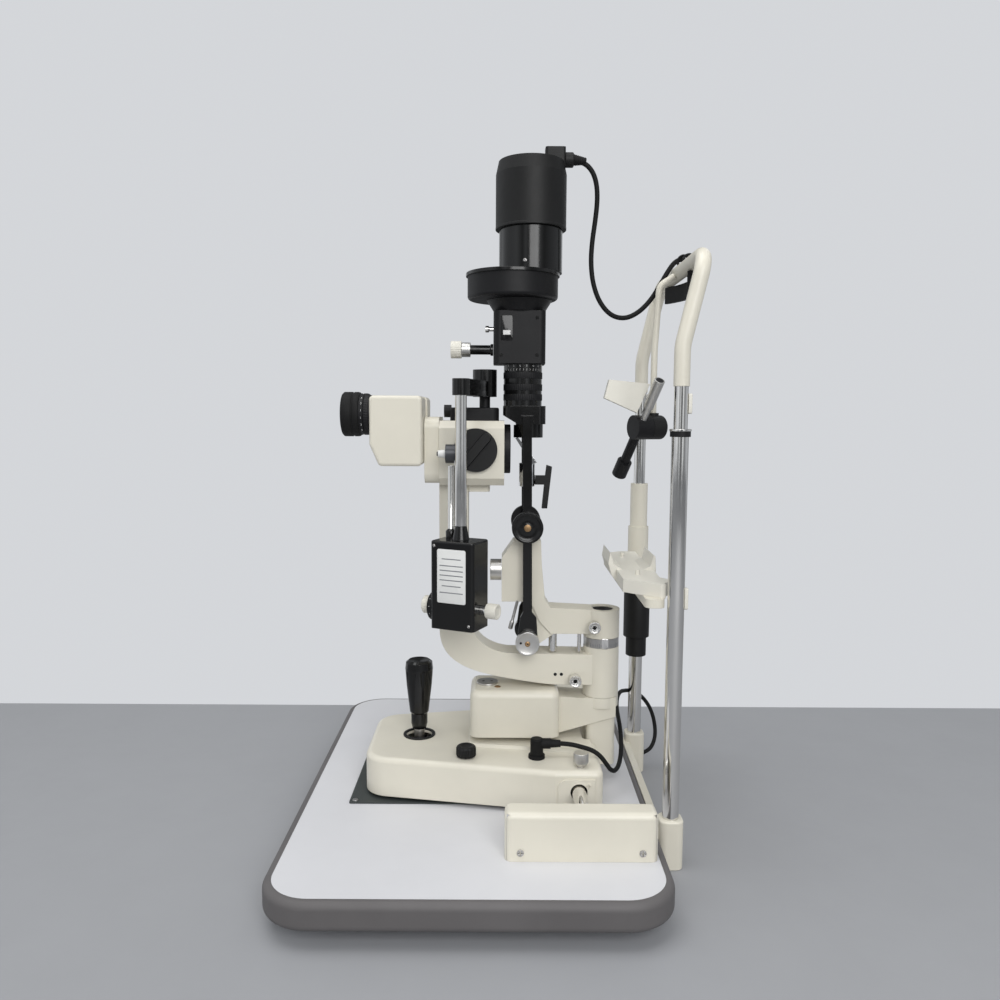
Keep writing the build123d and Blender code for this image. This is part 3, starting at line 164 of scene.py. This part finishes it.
MATERIALS = {
    "cream": surface("cream_paint", (0.71, 0.675, 0.575), 0.34, 0.03, grain=1400, bump=0.08),
    "cream_plastic": surface("cream_plastic", (0.74, 0.715, 0.635), 0.4, 0.03),
    "laminate": surface("laminate", (0.66, 0.66, 0.68), 0.42, 0.015, grain=2200, bump=0.05),
    "edging": surface("edging", (0.115, 0.108, 0.108), 0.6, 0.06, grain=1800, bump=0.25),
    "slide_mat": surface("slide_plate", (0.045, 0.052, 0.05), 0.5, 0.08, specular=0.3),
    "chrome": surface("chrome", (0.74, 0.73, 0.71), 0.1, 0.03, metallic=1.0, bump=0.0),
    "steel": surface("steel", (0.46, 0.45, 0.44), 0.32, 0.08, metallic=1.0),
    "aluminium": surface("aluminium", (0.60, 0.59, 0.57), 0.34, 0.06, metallic=1.0),
    "brass": surface("brass", (0.36, 0.23, 0.12), 0.4, 0.12, metallic=0.9),
    "black_metal": surface("black_metal", (0.008, 0.008, 0.009), 0.48, 0.2, bump=0.35,
                           specular=0.25),
    "black_gloss": surface("black_gloss", (0.004, 0.004, 0.004), 0.16, 0.15, bump=0.05,
                           specular=0.4),
    "black_plastic": surface("black_plastic", (0.009, 0.009, 0.009), 0.5, 0.2, bump=0.4,
                             specular=0.28),
    "rubber": surface("rubber", (0.008, 0.008, 0.008), 0.62, 0.2, specular=0.2),
    "glass": surface("glass", (0.05, 0.06, 0.07), 0.04, 0.05, bump=0.0, coat=1.0),
    "mirror": surface("mirror", (0.85, 0.85, 0.86), 0.04, 0.01, metallic=1.0, bump=0.0),
    "dark_metal": surface("dark_metal", (0.06, 0.062, 0.068), 0.36, 0.15, metallic=0.5),
    "white": surface("white_marking", (0.72, 0.72, 0.70), 0.5, 0.03, bump=0.0),
    "grey": surface("grey_marking", (0.22, 0.23, 0.24), 0.5, 0.05, bump=0.0),
}
for part in RECORD["subparts"]:
    materials = NODES[part["node"]].data.materials
    materials.clear()
    materials.append(MATERIALS[part["material_slot"]])
NODES["joystick_grip"].data.materials[0] = MATERIALS["black_gloss"]


def along_axis(origin, axis):
    """Turns +Z into axis and moves to origin; both in millimetres of the part's frame."""
    turn = Vector(axis).to_track_quat("Z", "Y").to_matrix().to_4x4()
    return Matrix.Translation(Vector(origin) / 1000) @ turn


def upright(centre, normal):
    """X across, Y up and Z outwards on a face that looks along normal, at centre in millimetres."""
    normal = Vector(normal).normalized()
    across = UP.cross(normal).normalized()
    turn = Matrix((across, normal.cross(across), normal)).transposed().to_4x4()
    return Matrix.Translation(Vector(centre) / 1000) @ turn


def around(centre, radius, degrees):
    """A point on an upright cylinder and its outward direction; 0 degrees is the near side."""
    turn = math.radians(degrees)
    normal = Vector((math.sin(turn), -math.cos(turn), 0))
    return Vector(centre) + normal * radius, normal


def ride(piece, body):
    """Fixes a piece to its body; a paint that the record doesn't list counts as cream plastic."""
    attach(piece, body)
    return piece


def finish_mesh(name, mesh, body, paints):
    mesh.shade_smooth()
    mesh.set_sharp_from_angle(angle=math.radians(32))
    for paint in paints:
        mesh.materials.append(MATERIALS[paint])
    return ride(show(name, mesh), body)


def break_corners(rows, size):
    """Swaps each corner of a turned profile for a small chamfer."""
    result = [rows[0]]
    for before, row, after in zip(rows, rows[1:], rows[2:]):
        point = Vector(row[:2])
        back = Vector(before[:2]) - point
        ahead = Vector(after[:2]) - point
        cut = min(size, 0.4 * back.length, 0.4 * ahead.length)
        first = point + back.normalized() * cut
        second = point + ahead.normalized() * cut
        result += [(*first, before[2]), (*second, row[2])]
    return result + [rows[-1]]


def lathe(name, body, origin, axis, rows, paints, flutes=None, slot=None, steps=72, corner=0.4):
    """A turned piece. Each row is (height, radius, paint of the band after it), in millimetres.
    flutes is (how many, how deep, from height, to height)."""
    rows = break_corners(rows, corner)
    place = along_axis(origin, axis) @ MM
    if flutes:
        steps = max(steps, 4 * flutes[0])
    mesh = bmesh.new()
    rings = []
    for height, radius, _ in rows:
        ring = []
        for step in range(steps):
            angle = math.tau * step / steps
            reach = radius
            if flutes and flutes[2] <= height <= flutes[3] and radius > 2 * flutes[1]:
                reach -= flutes[1] * (0.5 - 0.5 * math.cos(flutes[0] * angle))
            point = Vector((reach * math.cos(angle), reach * math.sin(angle), height))
            ring.append(mesh.verts.new(place @ point))
        rings.append(ring)
    for row, lower, upper in zip(rows, rings, rings[1:]):
        for step in range(steps):
            ahead = (step + 1) % steps
            face = mesh.faces.new((lower[step], lower[ahead], upper[ahead], upper[step]))
            face.material_index = row[2]
    bmesh.ops.remove_doubles(mesh, verts=mesh.verts, dist=1e-6)
    bmesh.ops.recalc_face_normals(mesh, faces=mesh.faces)
    data = bpy.data.meshes.new(name)
    mesh.to_mesh(data)
    mesh.free()
    return finish_mesh(name, data, body, paints)


def turned(name, node, origin, axis, rows, paints, **shape):
    """A turned piece that is shown in place of a CAD node and rides where the node does."""
    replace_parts(lathe(name, BODY_OF[node], origin, axis, rows, paints, **shape), node)


def repaint(name, node, paints, choose):
    """A node's own shape with a material for each region; choose gets a face's middle in mm."""
    source = NODES[node]
    data = source.data.copy()
    data.transform(source.matrix_world)
    data.materials.clear()
    for paint in paints:
        data.materials.append(MATERIALS[paint])
    for polygon in data.polygons:
        polygon.material_index = choose(polygon.center * 1000)
    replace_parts(ride(show(name, data), BODY_OF[node]), node)


def screw(name, body, origin, axis, radius=2.6, paint="steel"):
    """Domed head with a round recess; the recess floor is painted black: painted shade standing in
    for a cross recess.
    """
    head = [(-0.3, radius, 0), (0.5, radius, 0), (1.0, 0.7 * radius, 0), (1.15, 0.34 * radius, 0),
            (0.7, 0.3 * radius, 1), (0.7, 0, 1)]
    lathe(name, body, origin, axis, head, [paint, "black_metal"], steps=24, corner=0.1)


def lettering(name, text, body, origin, facing, size, paint="white"):
    """Plain raised figures on a surface, facing outwards."""
    curve = bpy.data.curves.new(name, "FONT")
    curve.body = text
    curve.size = size / 1000
    curve.extrude = 0.00006
    curve.align_x = "CENTER"
    curve.align_y = "CENTER"
    curve.materials.append(MATERIALS[paint])
    piece = show(name, curve)
    piece.matrix_world = upright(origin, facing)
    ride(piece, body)


def plate(name, body, centre, normal, width, height, thick, radius, paint):
    """Thin plate with rounded corners, standing on a face."""
    place = upright(centre, normal) @ MM
    outline = []
    for sx, sy, start in ((1, 1, 0), (-1, 1, 90), (-1, -1, 180), (1, -1, 270)):
        for step in range(7):
            angle = math.radians(start + 15 * step)
            outline.append((sx * (width / 2 - radius) + radius * math.cos(angle),
                            sy * (height / 2 - radius) + radius * math.sin(angle)))
    mesh = bmesh.new()
    rings = []
    for inset, level in ((0, 0), (0, 0.7), (0.35, 1)):
        shrink = 1 - 2 * inset / height
        rings.append([mesh.verts.new(place @ Vector((x * shrink, y * shrink, level * thick)))
                      for x, y in outline])
    total = len(outline)
    for lower, upper in zip(rings, rings[1:]):
        for step in range(total):
            ahead = (step + 1) % total
            mesh.faces.new((lower[step], lower[ahead], upper[ahead], upper[step]))
    mesh.faces.new(rings[-1])
    mesh.faces.new(list(reversed(rings[0])))
    data = bpy.data.meshes.new(name)
    mesh.to_mesh(data)
    mesh.free()
    finish_mesh(name, data, body, [paint])


# Cords: the supply cord to the base and the lamp's lead over the head arch
SUPPLY_CORD = [
    (94, -66, 91.5), (104, -66, 91), (116, -66, 88), (128, -66, 84.5), (137, -66.5, 78.5),
    (144, -66, 69), (149, -64, 61), (155, -58, 57), (161, -47, 60), (165, -33, 69),
    (167, -16, 80), (168, 4, 88), (168, 26, 94), (170, 48, 99), (175, 70, 101), (182, 92, 98),
    (189, 112, 92), (197, 129, 87), (209, 140, 81), (221, 145, 70), (230, 146, 56),
    (235, 144, 40), (236, 139, 24), (232, 133, 12), (225, 128, 5), (216, 125, 3),
]
LAMP_LEAD = [
    (105, 0, 724), (116, 0, 722), (126, 1, 713), (131, 2, 699), (132, 3, 681), (130, 4, 660),
    (127, 5, 638), (126, 6, 615), (129, 7, 592), (137, 8, 572), (150, 9, 558), (166, 11, 555),
    (181, 12, 562), (194, 12, 575), (204, 12, 591), (212, 12, 606), (220, 10, 618),
    (229, 7, 621), (234, 4, 612), (232, 3, 601),
]
RELIEF_FLUTES = 7
RELIEF_LENGTH = 14
RELIEF_RADIUS = 6.0


def cord(name, points, diameter):
    """A limp lead on one smooth line."""
    curve = bpy.data.curves.new(name, "CURVE")
    curve.dimensions = "3D"
    curve.resolution_u = 16
    spline = curve.splines.new("NURBS")
    spline.points.add(len(points) - 1)
    for control, point in zip(spline.points, points):
        control.co = (*(Vector(point) / 1000), 1)
    spline.order_u = 3
    spline.use_endpoint_u = True
    piece = show(name, curve)
    line = bpy.data.meshes.new_from_object(piece)
    curve.bevel_depth = diameter / 2000
    curve.bevel_resolution = 6
    curve.use_fill_caps = True
    curve.materials.append(MATERIALS["rubber"])
    ride(piece, "table")


def tie(name, origin, axis, radius, thick=1.5):
    """Closed ring of round section that holds the lead."""
    rows = []
    for step in range(13):
        angle = math.tau * step / 12
        rows.append((thick * math.sin(angle), radius + thick * math.cos(angle), 0))
    lathe(name, "table", origin, axis, rows, ["rubber"], steps=40, corner=0.01)


cord("supply_cord", SUPPLY_CORD, 5.0)
cord("lamp_lead", LAMP_LEAD, 5.4)
relief = [(-0.5, RELIEF_RADIUS, 0)]
for step in range(RELIEF_FLUTES):
    start = RELIEF_LENGTH * step / RELIEF_FLUTES
    reach = RELIEF_RADIUS * (1 - 0.4 * step / RELIEF_FLUTES)
    relief += [(start + 0.25, reach, 0), (start + 0.6 * RELIEF_LENGTH / RELIEF_FLUTES, reach, 0),
               (start + 0.7 * RELIEF_LENGTH / RELIEF_FLUTES, reach - 0.6, 0)]
relief += [(RELIEF_LENGTH, 0.56 * RELIEF_RADIUS, 0), (RELIEF_LENGTH, 0, 0)]
lathe("lamp_lead_relief", "illumination", (104.8, 0, 724), (1, 0, -0.1), relief, ["rubber"],
      corner=0.15, steps=32)
tie("lead_tie_low", (228.5, 4, 617), (0.5, 0.8, 0.1), 6.5)
tie("lead_tie_high", (233, -3, 618), (0.3, 0.9, -0.2), 6.0)

# Turned knobs: knurled metal with a recessed face
# The pit in the lock knobs' face is painted black: painted shade in the recess.
LOCK_KNOB = [(0, 4.2, 0), (3, 4.2, 0), (3, 7, 0), (13.6, 7, 0), (13.6, 5, 0), (12.4, 4.6, 0),
             (12.4, 2.4, 1), (11, 2.2, 1), (11, 0, 1)]
turned("microscope_lock", "microscope_lock_knob", (112.5, -17.2, 149), (0, -1, 0), LOCK_KNOB,
       ["chrome", "black_metal"], flutes=(40, 0.5, 3.1, 13.3))
turned("illumination_lock", "illumination_lock_knob", (133, -20.9, 211), (0, -1, 0),
       [(height * 0.85, radius, paint) for height, radius, paint in LOCK_KNOB],
       ["chrome", "black_metal"], flutes=(40, 0.5, 2.7, 11.2))
AXLE_KNOB = [(0, 4, 0), (2.5, 4, 0), (2.5, 6.2, 0), (5.5, 8, 0), (15.5, 8, 0), (15.5, 0, 0)]
turned("axle_lock", "axle_lock_knob", (114, -90, 75.6), UP, AXLE_KNOB, ["aluminium"],
       flutes=(36, 0.35, 5.6, 15.2))
BASE_KNOB = [(0, 6, 0), (1.5, 6, 0), (1.5, 10.9, 0), (10.5, 10.9, 0), (12.3, 9, 0), (12.3, 6, 0),
             (11.4, 5.4, 0), (11.4, 0, 0)]
turned("base_lock", "base_lock_knob", (-9, -64, 75.6), UP, BASE_KNOB, ["black_plastic"],
       flutes=(18, 1.1, 1.6, 11))
CENTRING_KNOB = [(0, 12, 0), (12.7, 12, 0), (12.7, 8, 0), (11.9, 7.4, 0), (11.9, 0, 0)]
turned("centring_wheel", "centring_knob", (28.6, -5, 272), (-1, 0, 0), CENTRING_KNOB,
       ["aluminium"], flutes=(48, 0.6, 0.8, 12))
SLIT_CONTROL = [(0, 6.5, 1), (3, 6.5, 1), (3, 5.2, 1), (25.2, 5.2, 2), (25.2, 8, 2), (35.2, 8, 0),
                (35.2, 9.5, 0), (47.1, 9.5, 0), (47.1, 0, 0)]
turned("slit_lever", "slit_control", (18.1, 0, 519), (-1, 0, 0), SLIT_CONTROL,
       ["cream_plastic", "black_gloss", "aluminium"], flutes=(30, 0.5, 35.4, 46.8),
       slot="black_metal")
COLUMN_X = 204
COLUMN_Y = 120
CHIN_WHEEL = [(0, 7.1, 0), (0, 13, 0), (25, 13, 0), (25, 16.5, 0), (84.5, 16.5, 0),
              (86, 15, 0), (86, 7.1, 0), (0, 7.1, 0)]
turned("chin_wheel", "chin_knob", (COLUMN_X, COLUMN_Y, 138), UP, CHIN_WHEEL, ["black_plastic"],
       flutes=(24, 1.0, 27, 80))

# Eyepieces: dioptre ring with figures, rubber cup
EYEPIECE_X = -113
EYEPIECE_Y = 32
EYEPIECE_Z = 447
DIOPTRE_RADIUS = 21.5
EYEPIECE = [(0.1, 20.6, 0), (1.5, 20.6, 0), (1.5, DIOPTRE_RADIUS, 0), (6.5, DIOPTRE_RADIUS, 0),
            (6.5, 20.5, 0), (7.3, 20.5, 0), (7.3, DIOPTRE_RADIUS, 0), (12, DIOPTRE_RADIUS, 1),
            (12, 23.4, 1), (14, 24, 1), (18, 24, 1), (18.5, 23.2, 1), (19.5, 23.2, 1),
            (20, 24, 1), (29, 24, 1), (31, 22, 1), (31, 19, 1), (26, 17.5, 2), (22.5, 15.5, 2),
            (22.3, 0, 2)]
for side, name in ((-1, "near"), (1, "far")):
    turned(f"ocular_{name}", f"eyepiece_{name}", (EYEPIECE_X, side * EYEPIECE_Y, EYEPIECE_Z),
           (-1, 0, 0), EYEPIECE, ["black_metal", "rubber", "glass"], flutes=(48, 0.5, 1.7, 6.4),
           corner=0.3)
for count, figure in enumerate("531135"):
    turn = math.radians(-52 + 21 * count)
    normal = Vector((0, -math.cos(turn), math.sin(turn)))
    lettering(f"dioptre_figure_{count}", figure, "eye_near",
              Vector((EYEPIECE_X - 9, -EYEPIECE_Y, EYEPIECE_Z)) + normal * DIOPTRE_RADIUS,
              normal, 3.4)

# Tonometer: dial and knobs on the box, bare label plate, chrome rod under a black arm
BOX_TURN = math.radians(-25)
DRUM_AXIS = Vector((math.cos(BOX_TURN), math.sin(BOX_TURN), 0))
FACE_AXIS = Vector((math.sin(BOX_TURN), -math.cos(BOX_TURN), 0))
BOX_CENTRE = Vector((-15, -86, 246))
BOX_FACE = BOX_CENTRE + FACE_AXIS * 18.5
BOX_SIDE = 25.3
DIAL_RADIUS = 15.5
DIAL = [(0, DIAL_RADIUS, 0), (6, DIAL_RADIUS, 0), (6, 9.5, 1), (16, 9.5, 1), (16, 7, 1),
        (15.2, 6.5, 1), (15.2, 0, 1)]
turned("force_dial", "tonometer_drum", BOX_CENTRE - DRUM_AXIS * BOX_SIDE, -DRUM_AXIS, DIAL,
       ["black_metal", "cream_plastic"], flutes=(40, 0.5, 6.4, 15.6))
FORCE_KNOB = [(0, 5.2, 1), (7, 5.2, 0), (7, 8, 0), (19, 8, 0), (19, 5.6, 0), (18.2, 5.2, 0),
              (18.2, 0, 0)]
lathe("force_knob", "tono_drum", BOX_CENTRE + DRUM_AXIS * BOX_SIDE, DRUM_AXIS, FORCE_KNOB,
      ["cream_plastic", "chrome"], flutes=(32, 0.6, 7.3, 18.6))
for count in range(12):
    turn = math.radians(count * 30 + 8)
    spoke = FACE_AXIS * math.cos(turn) + UP * math.sin(turn)
    lettering(f"dial_mark_{count}", "-", "tono_drum",
              BOX_CENTRE - DRUM_AXIS * (BOX_SIDE + 3) + spoke * DIAL_RADIUS, spoke, 5)
LABEL_THICK = 0.4
plate("label_plate", "tono_arm", BOX_FACE + UP * 36, FACE_AXIS, 33, 56, LABEL_THICK, 2.0, "white")
for count, height in enumerate((54, 47, 42, 37, 32, 26, 19)):
    plate(f"label_rule_{count}", "tono_arm", BOX_FACE + FACE_AXIS * LABEL_THICK + UP * height,
          FACE_AXIS, 22 if count in (0, 5) else 27, 1.1, 0.06, 0.2, "grey")
for name, across, height in (("low", 20, -14), ("high", -20, 67)):
    screw(f"box_screw_{name}", "tono_arm", BOX_FACE + DRUM_AXIS * across + UP * height,
          FACE_AXIS, 1.6)
ROD_TOP = 466.5
PROBE_TIP_X = -31.2
PROBE_HOLDER_Z = 395.5


def probe_paint(p):
    if p.x < PROBE_TIP_X:
        return 2
    return 1 if p.z > PROBE_HOLDER_Z else 0


repaint("tonometer_swing_arm", "tonometer_arm", ["black_gloss", "chrome"],
        lambda p: 1 if p.z < ROD_TOP else 0)
repaint("tonometer_probe", "tonometer_feeler", ["chrome", "dark_metal", "white"], probe_paint)
lathe("probe_tip", "tono_feeler", (-38.8, -64, 406), (-1, 0, 0),
      [(0, 2.4, 0), (1.6, 2.2, 0), (1.6, 0, 0)], ["black_plastic"], steps=32, corner=0.2)
lathe("feeler_rod", "tono_arm", (-25, -71, 318.2), UP,
      [(0, 5.5, 1), (7, 5.5, 1), (9, 3.2, 0), (76, 3.2, 0), (76, 0, 0)],
      ["chrome", "black_gloss"], steps=40)

# Illumination tower
PIVOT_X = 58
PIVOT_Z = 194
PIVOT_RADIUS = 13.6
FORK_FACE_Y = 29.6
CAP_Y = 37.5
WIDTH_Y = 39.8


def fork_paint(p):
    near_pivot = math.hypot(p.x - PIVOT_X, p.z - PIVOT_Z) < PIVOT_RADIUS
    return 1 if abs(p.y) > FORK_FACE_Y and near_pivot else 0


repaint("tilt_fork_bars", "tilt_fork", ["black_gloss", "aluminium"], fork_paint)
PIVOT_CAP = [(0, 13.1, 0), (0.5, 13.1, 0), (0.5, 11.2, 0), (0.05, 10.8, 0), (0.05, 0, 0)]
WIDTH_RING = [(0, 17.1, 0), (0.7, 17.1, 0), (0.7, 14.2, 0), (0.05, 13.8, 0), (0.05, 4, 1),
              (0.5, 3.6, 1), (0.5, 0, 1)]
for side, name in ((-1, "near"), (1, "far")):
    outwards = (0, side, 0)
    lathe(f"pivot_rim_{name}", "illumination", (PIVOT_X, side * CAP_Y, PIVOT_Z), outwards,
          PIVOT_CAP, ["aluminium"], corner=0.15)
    screw(f"pivot_screw_{name}", "illumination", (PIVOT_X, side * (CAP_Y + 0.1), PIVOT_Z),
          outwards, 3.0, "brass")
    lathe(f"width_rim_{name}", "slit_width", (57, side * WIDTH_Y, 324), outwards, WIDTH_RING,
          ["black_gloss", "brass"], corner=0.15)
screw("pivot_stop", "illumination", (50.5, -37.6, 195), (0, -1, 0), 1.3, "black_metal")
BARREL_X = 51.5
BARREL_Z = 457
BARREL_FACE = 21.35
BARREL_RING = [(0, 21.3, 0), (0, 21.75, 0), (7, 21.75, 0), (7, 21.3, 0)]
for count, height in enumerate((6, 17, 30)):
    lathe(f"barrel_ring_{count}", "illumination", (BARREL_X, 0, BARREL_Z + height), UP,
          BARREL_RING, ["black_metal"], flutes=(60, 0.4, 0.1, 6.9), corner=0.2, steps=240)
for count in range(13):
    spot, normal = around((BARREL_X, 0, 496.5), BARREL_FACE, -60 + 10 * count)
    lettering(f"barrel_tick_{count}", "I", "illumination", spot, normal, 3.4)
for count, figure in enumerate(("2", "4", "6", "8", "10", "12")):
    spot, normal = around((BARREL_X, 0, 500.6), BARREL_FACE, -50 + 20 * count)
    lettering(f"barrel_figure_{count}", figure, "illumination", spot, normal, 3.0)
FILTER_Y = -25.0
plate("filter_window", "illumination", (33, FILTER_Y, 541), (0, -1, 0), 13, 27, 0.5, 2,
      "black_gloss")
plate("filter_scale", "illumination", (33, FILTER_Y - 0.5, 536), (0, -1, 0), 8, 5, 0.1, 0.6,
      "white")
for count, (x, z) in enumerate(((66, 552), (66, 512), (27, 512))):
    screw(f"filter_screw_{count}", "illumination", (x, FILTER_Y, z), (0, -1, 0), 1.8,
          "black_plastic")
lathe("filter_lever", "illumination", (18.4, -8, 541), (-1, 0, 0),
      [(0, 2.4, 0), (5, 2.4, 0), (5, 3.6, 0), (9, 3.6, 0), (9, 0, 0)], ["chrome"], steps=32)
lathe("disc_rim", "disc", (39.5, 0, 598.4), UP,
      [(0, 51.45, 0), (0, 51.8, 0), (3.5, 51.8, 0), (3.55, 49, 0), (3.55, 35, 0)],
      ["black_gloss"], corner=0.3, slot="black_metal", steps=120)
screw("lamp_screw", "illumination", (52, -34.1, 611), (-0.2, -1, 0), 2.2)
lathe("stop_pin_thick", "illumination", (87.7, -8, 178.4), UP,
      [(0, 0, 0), (0, 4.7, 0), (22, 4.7, 0)], ["chrome"], steps=40)
lathe("stop_pin_thin", "illumination", (117.8, -10, 178.4), UP,
      [(0, 0, 0), (0, 2.2, 0), (22, 2.2, 0)], ["chrome"], steps=32)
TILT_LATCH = [(0, 1.7, 0), (24, 1.7, 0), (25, 2.6, 0), (33, 2.6, 0), (34, 1.5, 0), (34, 0, 0)]
lathe("tilt_latch", "illumination", (47, -14, 238), (-0.25, 0, -1), TILT_LATCH, ["steel"],
      steps=32)
lathe("cap_lip", "illumination", (59, 0, 649), UP,
      [(-0.2, 36, 0), (-0.2, 38.9, 0), (2.4, 38.9, 0), (3, 38.4, 0)], ["black_plastic"],
      corner=0.3, steps=96)

# Carrier, hub and headrest trim
HUB_X = 144
screw("carrier_screw", "carrier", (25, -15, 137.9), UP, 3.6, "brass")
# Two flat black discs on the cap top stand for holes: painted shade in the holes.
for count, x in enumerate((8.5, 18)):
    lathe(f"cap_hole_shade_{count}", "carrier", (x, 0, 140.0), UP,
          [(0, 1.5, 0), (0.06, 1.5, 0), (0.06, 0, 0)], ["black_metal"], corner=0.02, steps=20)
for count, x in enumerate((90.5, 97.5)):
    lathe(f"set_screw_{count}", "microscope", (x, -17.0, 153.5), (0, -1, 0),
          [(0, 1.9, 0), (0.15, 1.9, 0), (0.15, 0, 0)], ["black_metal"], corner=0.05, steps=24)
lathe("hub_plug", "illumination", (HUB_X, 0, 224.6), UP,
      [(0, 13.2, 0), (1.2, 13.2, 0), (1.2, 5, 0), (0.6, 4.6, 0), (0.6, 0, 0)], ["black_metal"])
for count in range(25):
    spot, normal = around((HUB_X, 0, 187.2), 20.2, -72 + 6 * count)
    lettering(f"angle_tick_{count}", "I", "microscope", spot, normal, 4.0 if count % 5 else 7.0,
              "grey")
plate("index_plate", "illumination", (146, -20.5, 190), (0, -1, 0), 8, 12, 0.8, 1.5, "chrome")
COLLAR = [(0, 8.5, 0), (0, 10.2, 0), (5.5, 10.2, 1), (5.5, 11, 1), (7.6, 11, 0), (7.6, 8, 0)]
lathe("column_ring", "table", (COLUMN_X, -COLUMN_Y, 426.5), UP, COLLAR,
      ["black_plastic", "chrome"], corner=0.3)
for name, x, z, width, height in (("low", 212.0, 264.5, 8, 22), ("high", 210.8, 459, 7, 20)):
    plate(f"column_clip_{name}", "table", (x, -COLUMN_Y, z), (1, 0, 0), width, height, 3.5, 2,
          "cream_plastic")

# Fixation lamp: bright tube, black arm, pale shade
LAMP_DIRECTION = Vector((0.27, -0.667, 0.925)).normalized()
LAMP_SWING = math.radians(22)
LAMP_JOINT = Vector((202, -1, 434))
TUBE_CENTRE = LAMP_JOINT + Vector((-math.cos(LAMP_SWING), -math.sin(LAMP_SWING), 0)) * 22
TUBE_START = 14
TUBE_REACH = 10
SHADE_Z = 449
SHADE_REACH = 8


def lamp_paint(p):
    along = (p - TUBE_CENTRE).dot(LAMP_DIRECTION)
    aside = ((p - TUBE_CENTRE) - LAMP_DIRECTION * along).length
    if along > TUBE_START and aside < TUBE_REACH:
        return 1
    return 2 if p.z > SHADE_Z and aside > SHADE_REACH else 0


repaint("fixation_lamp_tube", "fixation_lamp", ["black_metal", "aluminium", "cream_plastic"],
        lamp_paint)
# The black disc inside the rim stands for the open bore: painted shade in the tube's mouth.
lathe("fixation_lamp_mouth", "fix_lamp", TUBE_CENTRE + LAMP_DIRECTION * 63.6, LAMP_DIRECTION,
      [(-0.4, 5.75, 0), (0.5, 5.75, 0), (0.5, 4.6, 0), (0.46, 4.5, 1), (0.46, 0, 1)],
      ["aluminium", "black_metal"], corner=0.1, steps=40)

# Floor, backdrop and light
FLOOR_BACK = 0.36
FLOOR_SIDE = 6
WALL = (0.66, 0.675, 0.70)
ROOM_START = (0.62, 0.64, 0.67)
ROOM_END = (0.5, 0.52, 0.55)
ROOM_BANDS = [(0.10, 0.95), (0.24, 0.2), (0.34, 0.9), (0.42, 0.16), (0.6, 0.12), (0.68, 1.0),
              (0.86, 0.2)]
floor_mesh = bpy.data.meshes.new("floor")
floor_mesh.from_pydata([(-FLOOR_SIDE, -FLOOR_SIDE, 0), (FLOOR_SIDE, -FLOOR_SIDE, 0),
                        (FLOOR_SIDE, FLOOR_BACK, 0), (-FLOOR_SIDE, FLOOR_BACK, 0)],
                       [], [(0, 1, 2, 3)])
floor = show("floor", floor_mesh)
floor.location.z = CAD_BOX[0][2] - 0.0005
floor.data.materials.append(surface("floor_paint", (0.34, 0.345, 0.36), 0.7, 0.01))

# The camera sees a plain wall; metal mirrors the light and dark bands of a room
world = bpy.data.worlds.new("studio")
world.use_nodes = True
bpy.context.scene.world = world
nodes = world.node_tree.nodes
links = world.node_tree.links
place = nodes.new("ShaderNodeTexCoord")
split = nodes.new("ShaderNodeSeparateXYZ")
links.new(place.outputs["Generated"], split.inputs[0])
half = nodes.new("ShaderNodeMapRange")
half.inputs["From Min"].default_value = -1
links.new(split.outputs["X"], half.inputs["Value"])
room = nodes.new("ShaderNodeValToRGB")
room.color_ramp.elements[0].color = (*ROOM_START, 1)
room.color_ramp.elements[1].color = (*ROOM_END, 1)
for stop, level in ROOM_BANDS:
    element = room.color_ramp.elements.new(stop)
    element.color = (level * 0.97, level, level * 1.03, 1)
links.new(half.outputs["Result"], room.inputs["Fac"])
seen = nodes.new("ShaderNodeLightPath")
mix = nodes.new("ShaderNodeMix")
MIX_A, MIX_B, MIX_RESULT = 6, 7, 2  # the node's colour sockets
mix.data_type = "RGBA"
mix.inputs[MIX_B].default_value = (*WALL, 1)
links.new(seen.outputs["Is Camera Ray"], mix.inputs["Factor"])
links.new(room.outputs["Color"], mix.inputs[MIX_A])
links.new(mix.outputs[MIX_RESULT], nodes["Background"].inputs["Color"])
nodes["Background"].inputs["Strength"].default_value = 1.0


def lamp(name, origin, target, size, power):
    data = bpy.data.lights.new(name, "AREA")
    data.size = size
    data.energy = power
    aim = (Vector(target) - Vector(origin)).to_track_quat("-Z", "Y").to_matrix().to_4x4()
    show(name, data).matrix_world = Matrix.Translation(origin) @ aim


lamp("ceiling", (-0.4, -0.3, 2.6), (0, 0, 0.2), 1.8, 27)
lamp("front", (0.5, -2.4, 1.5), (0, 0, 0.3), 1.5, 40)
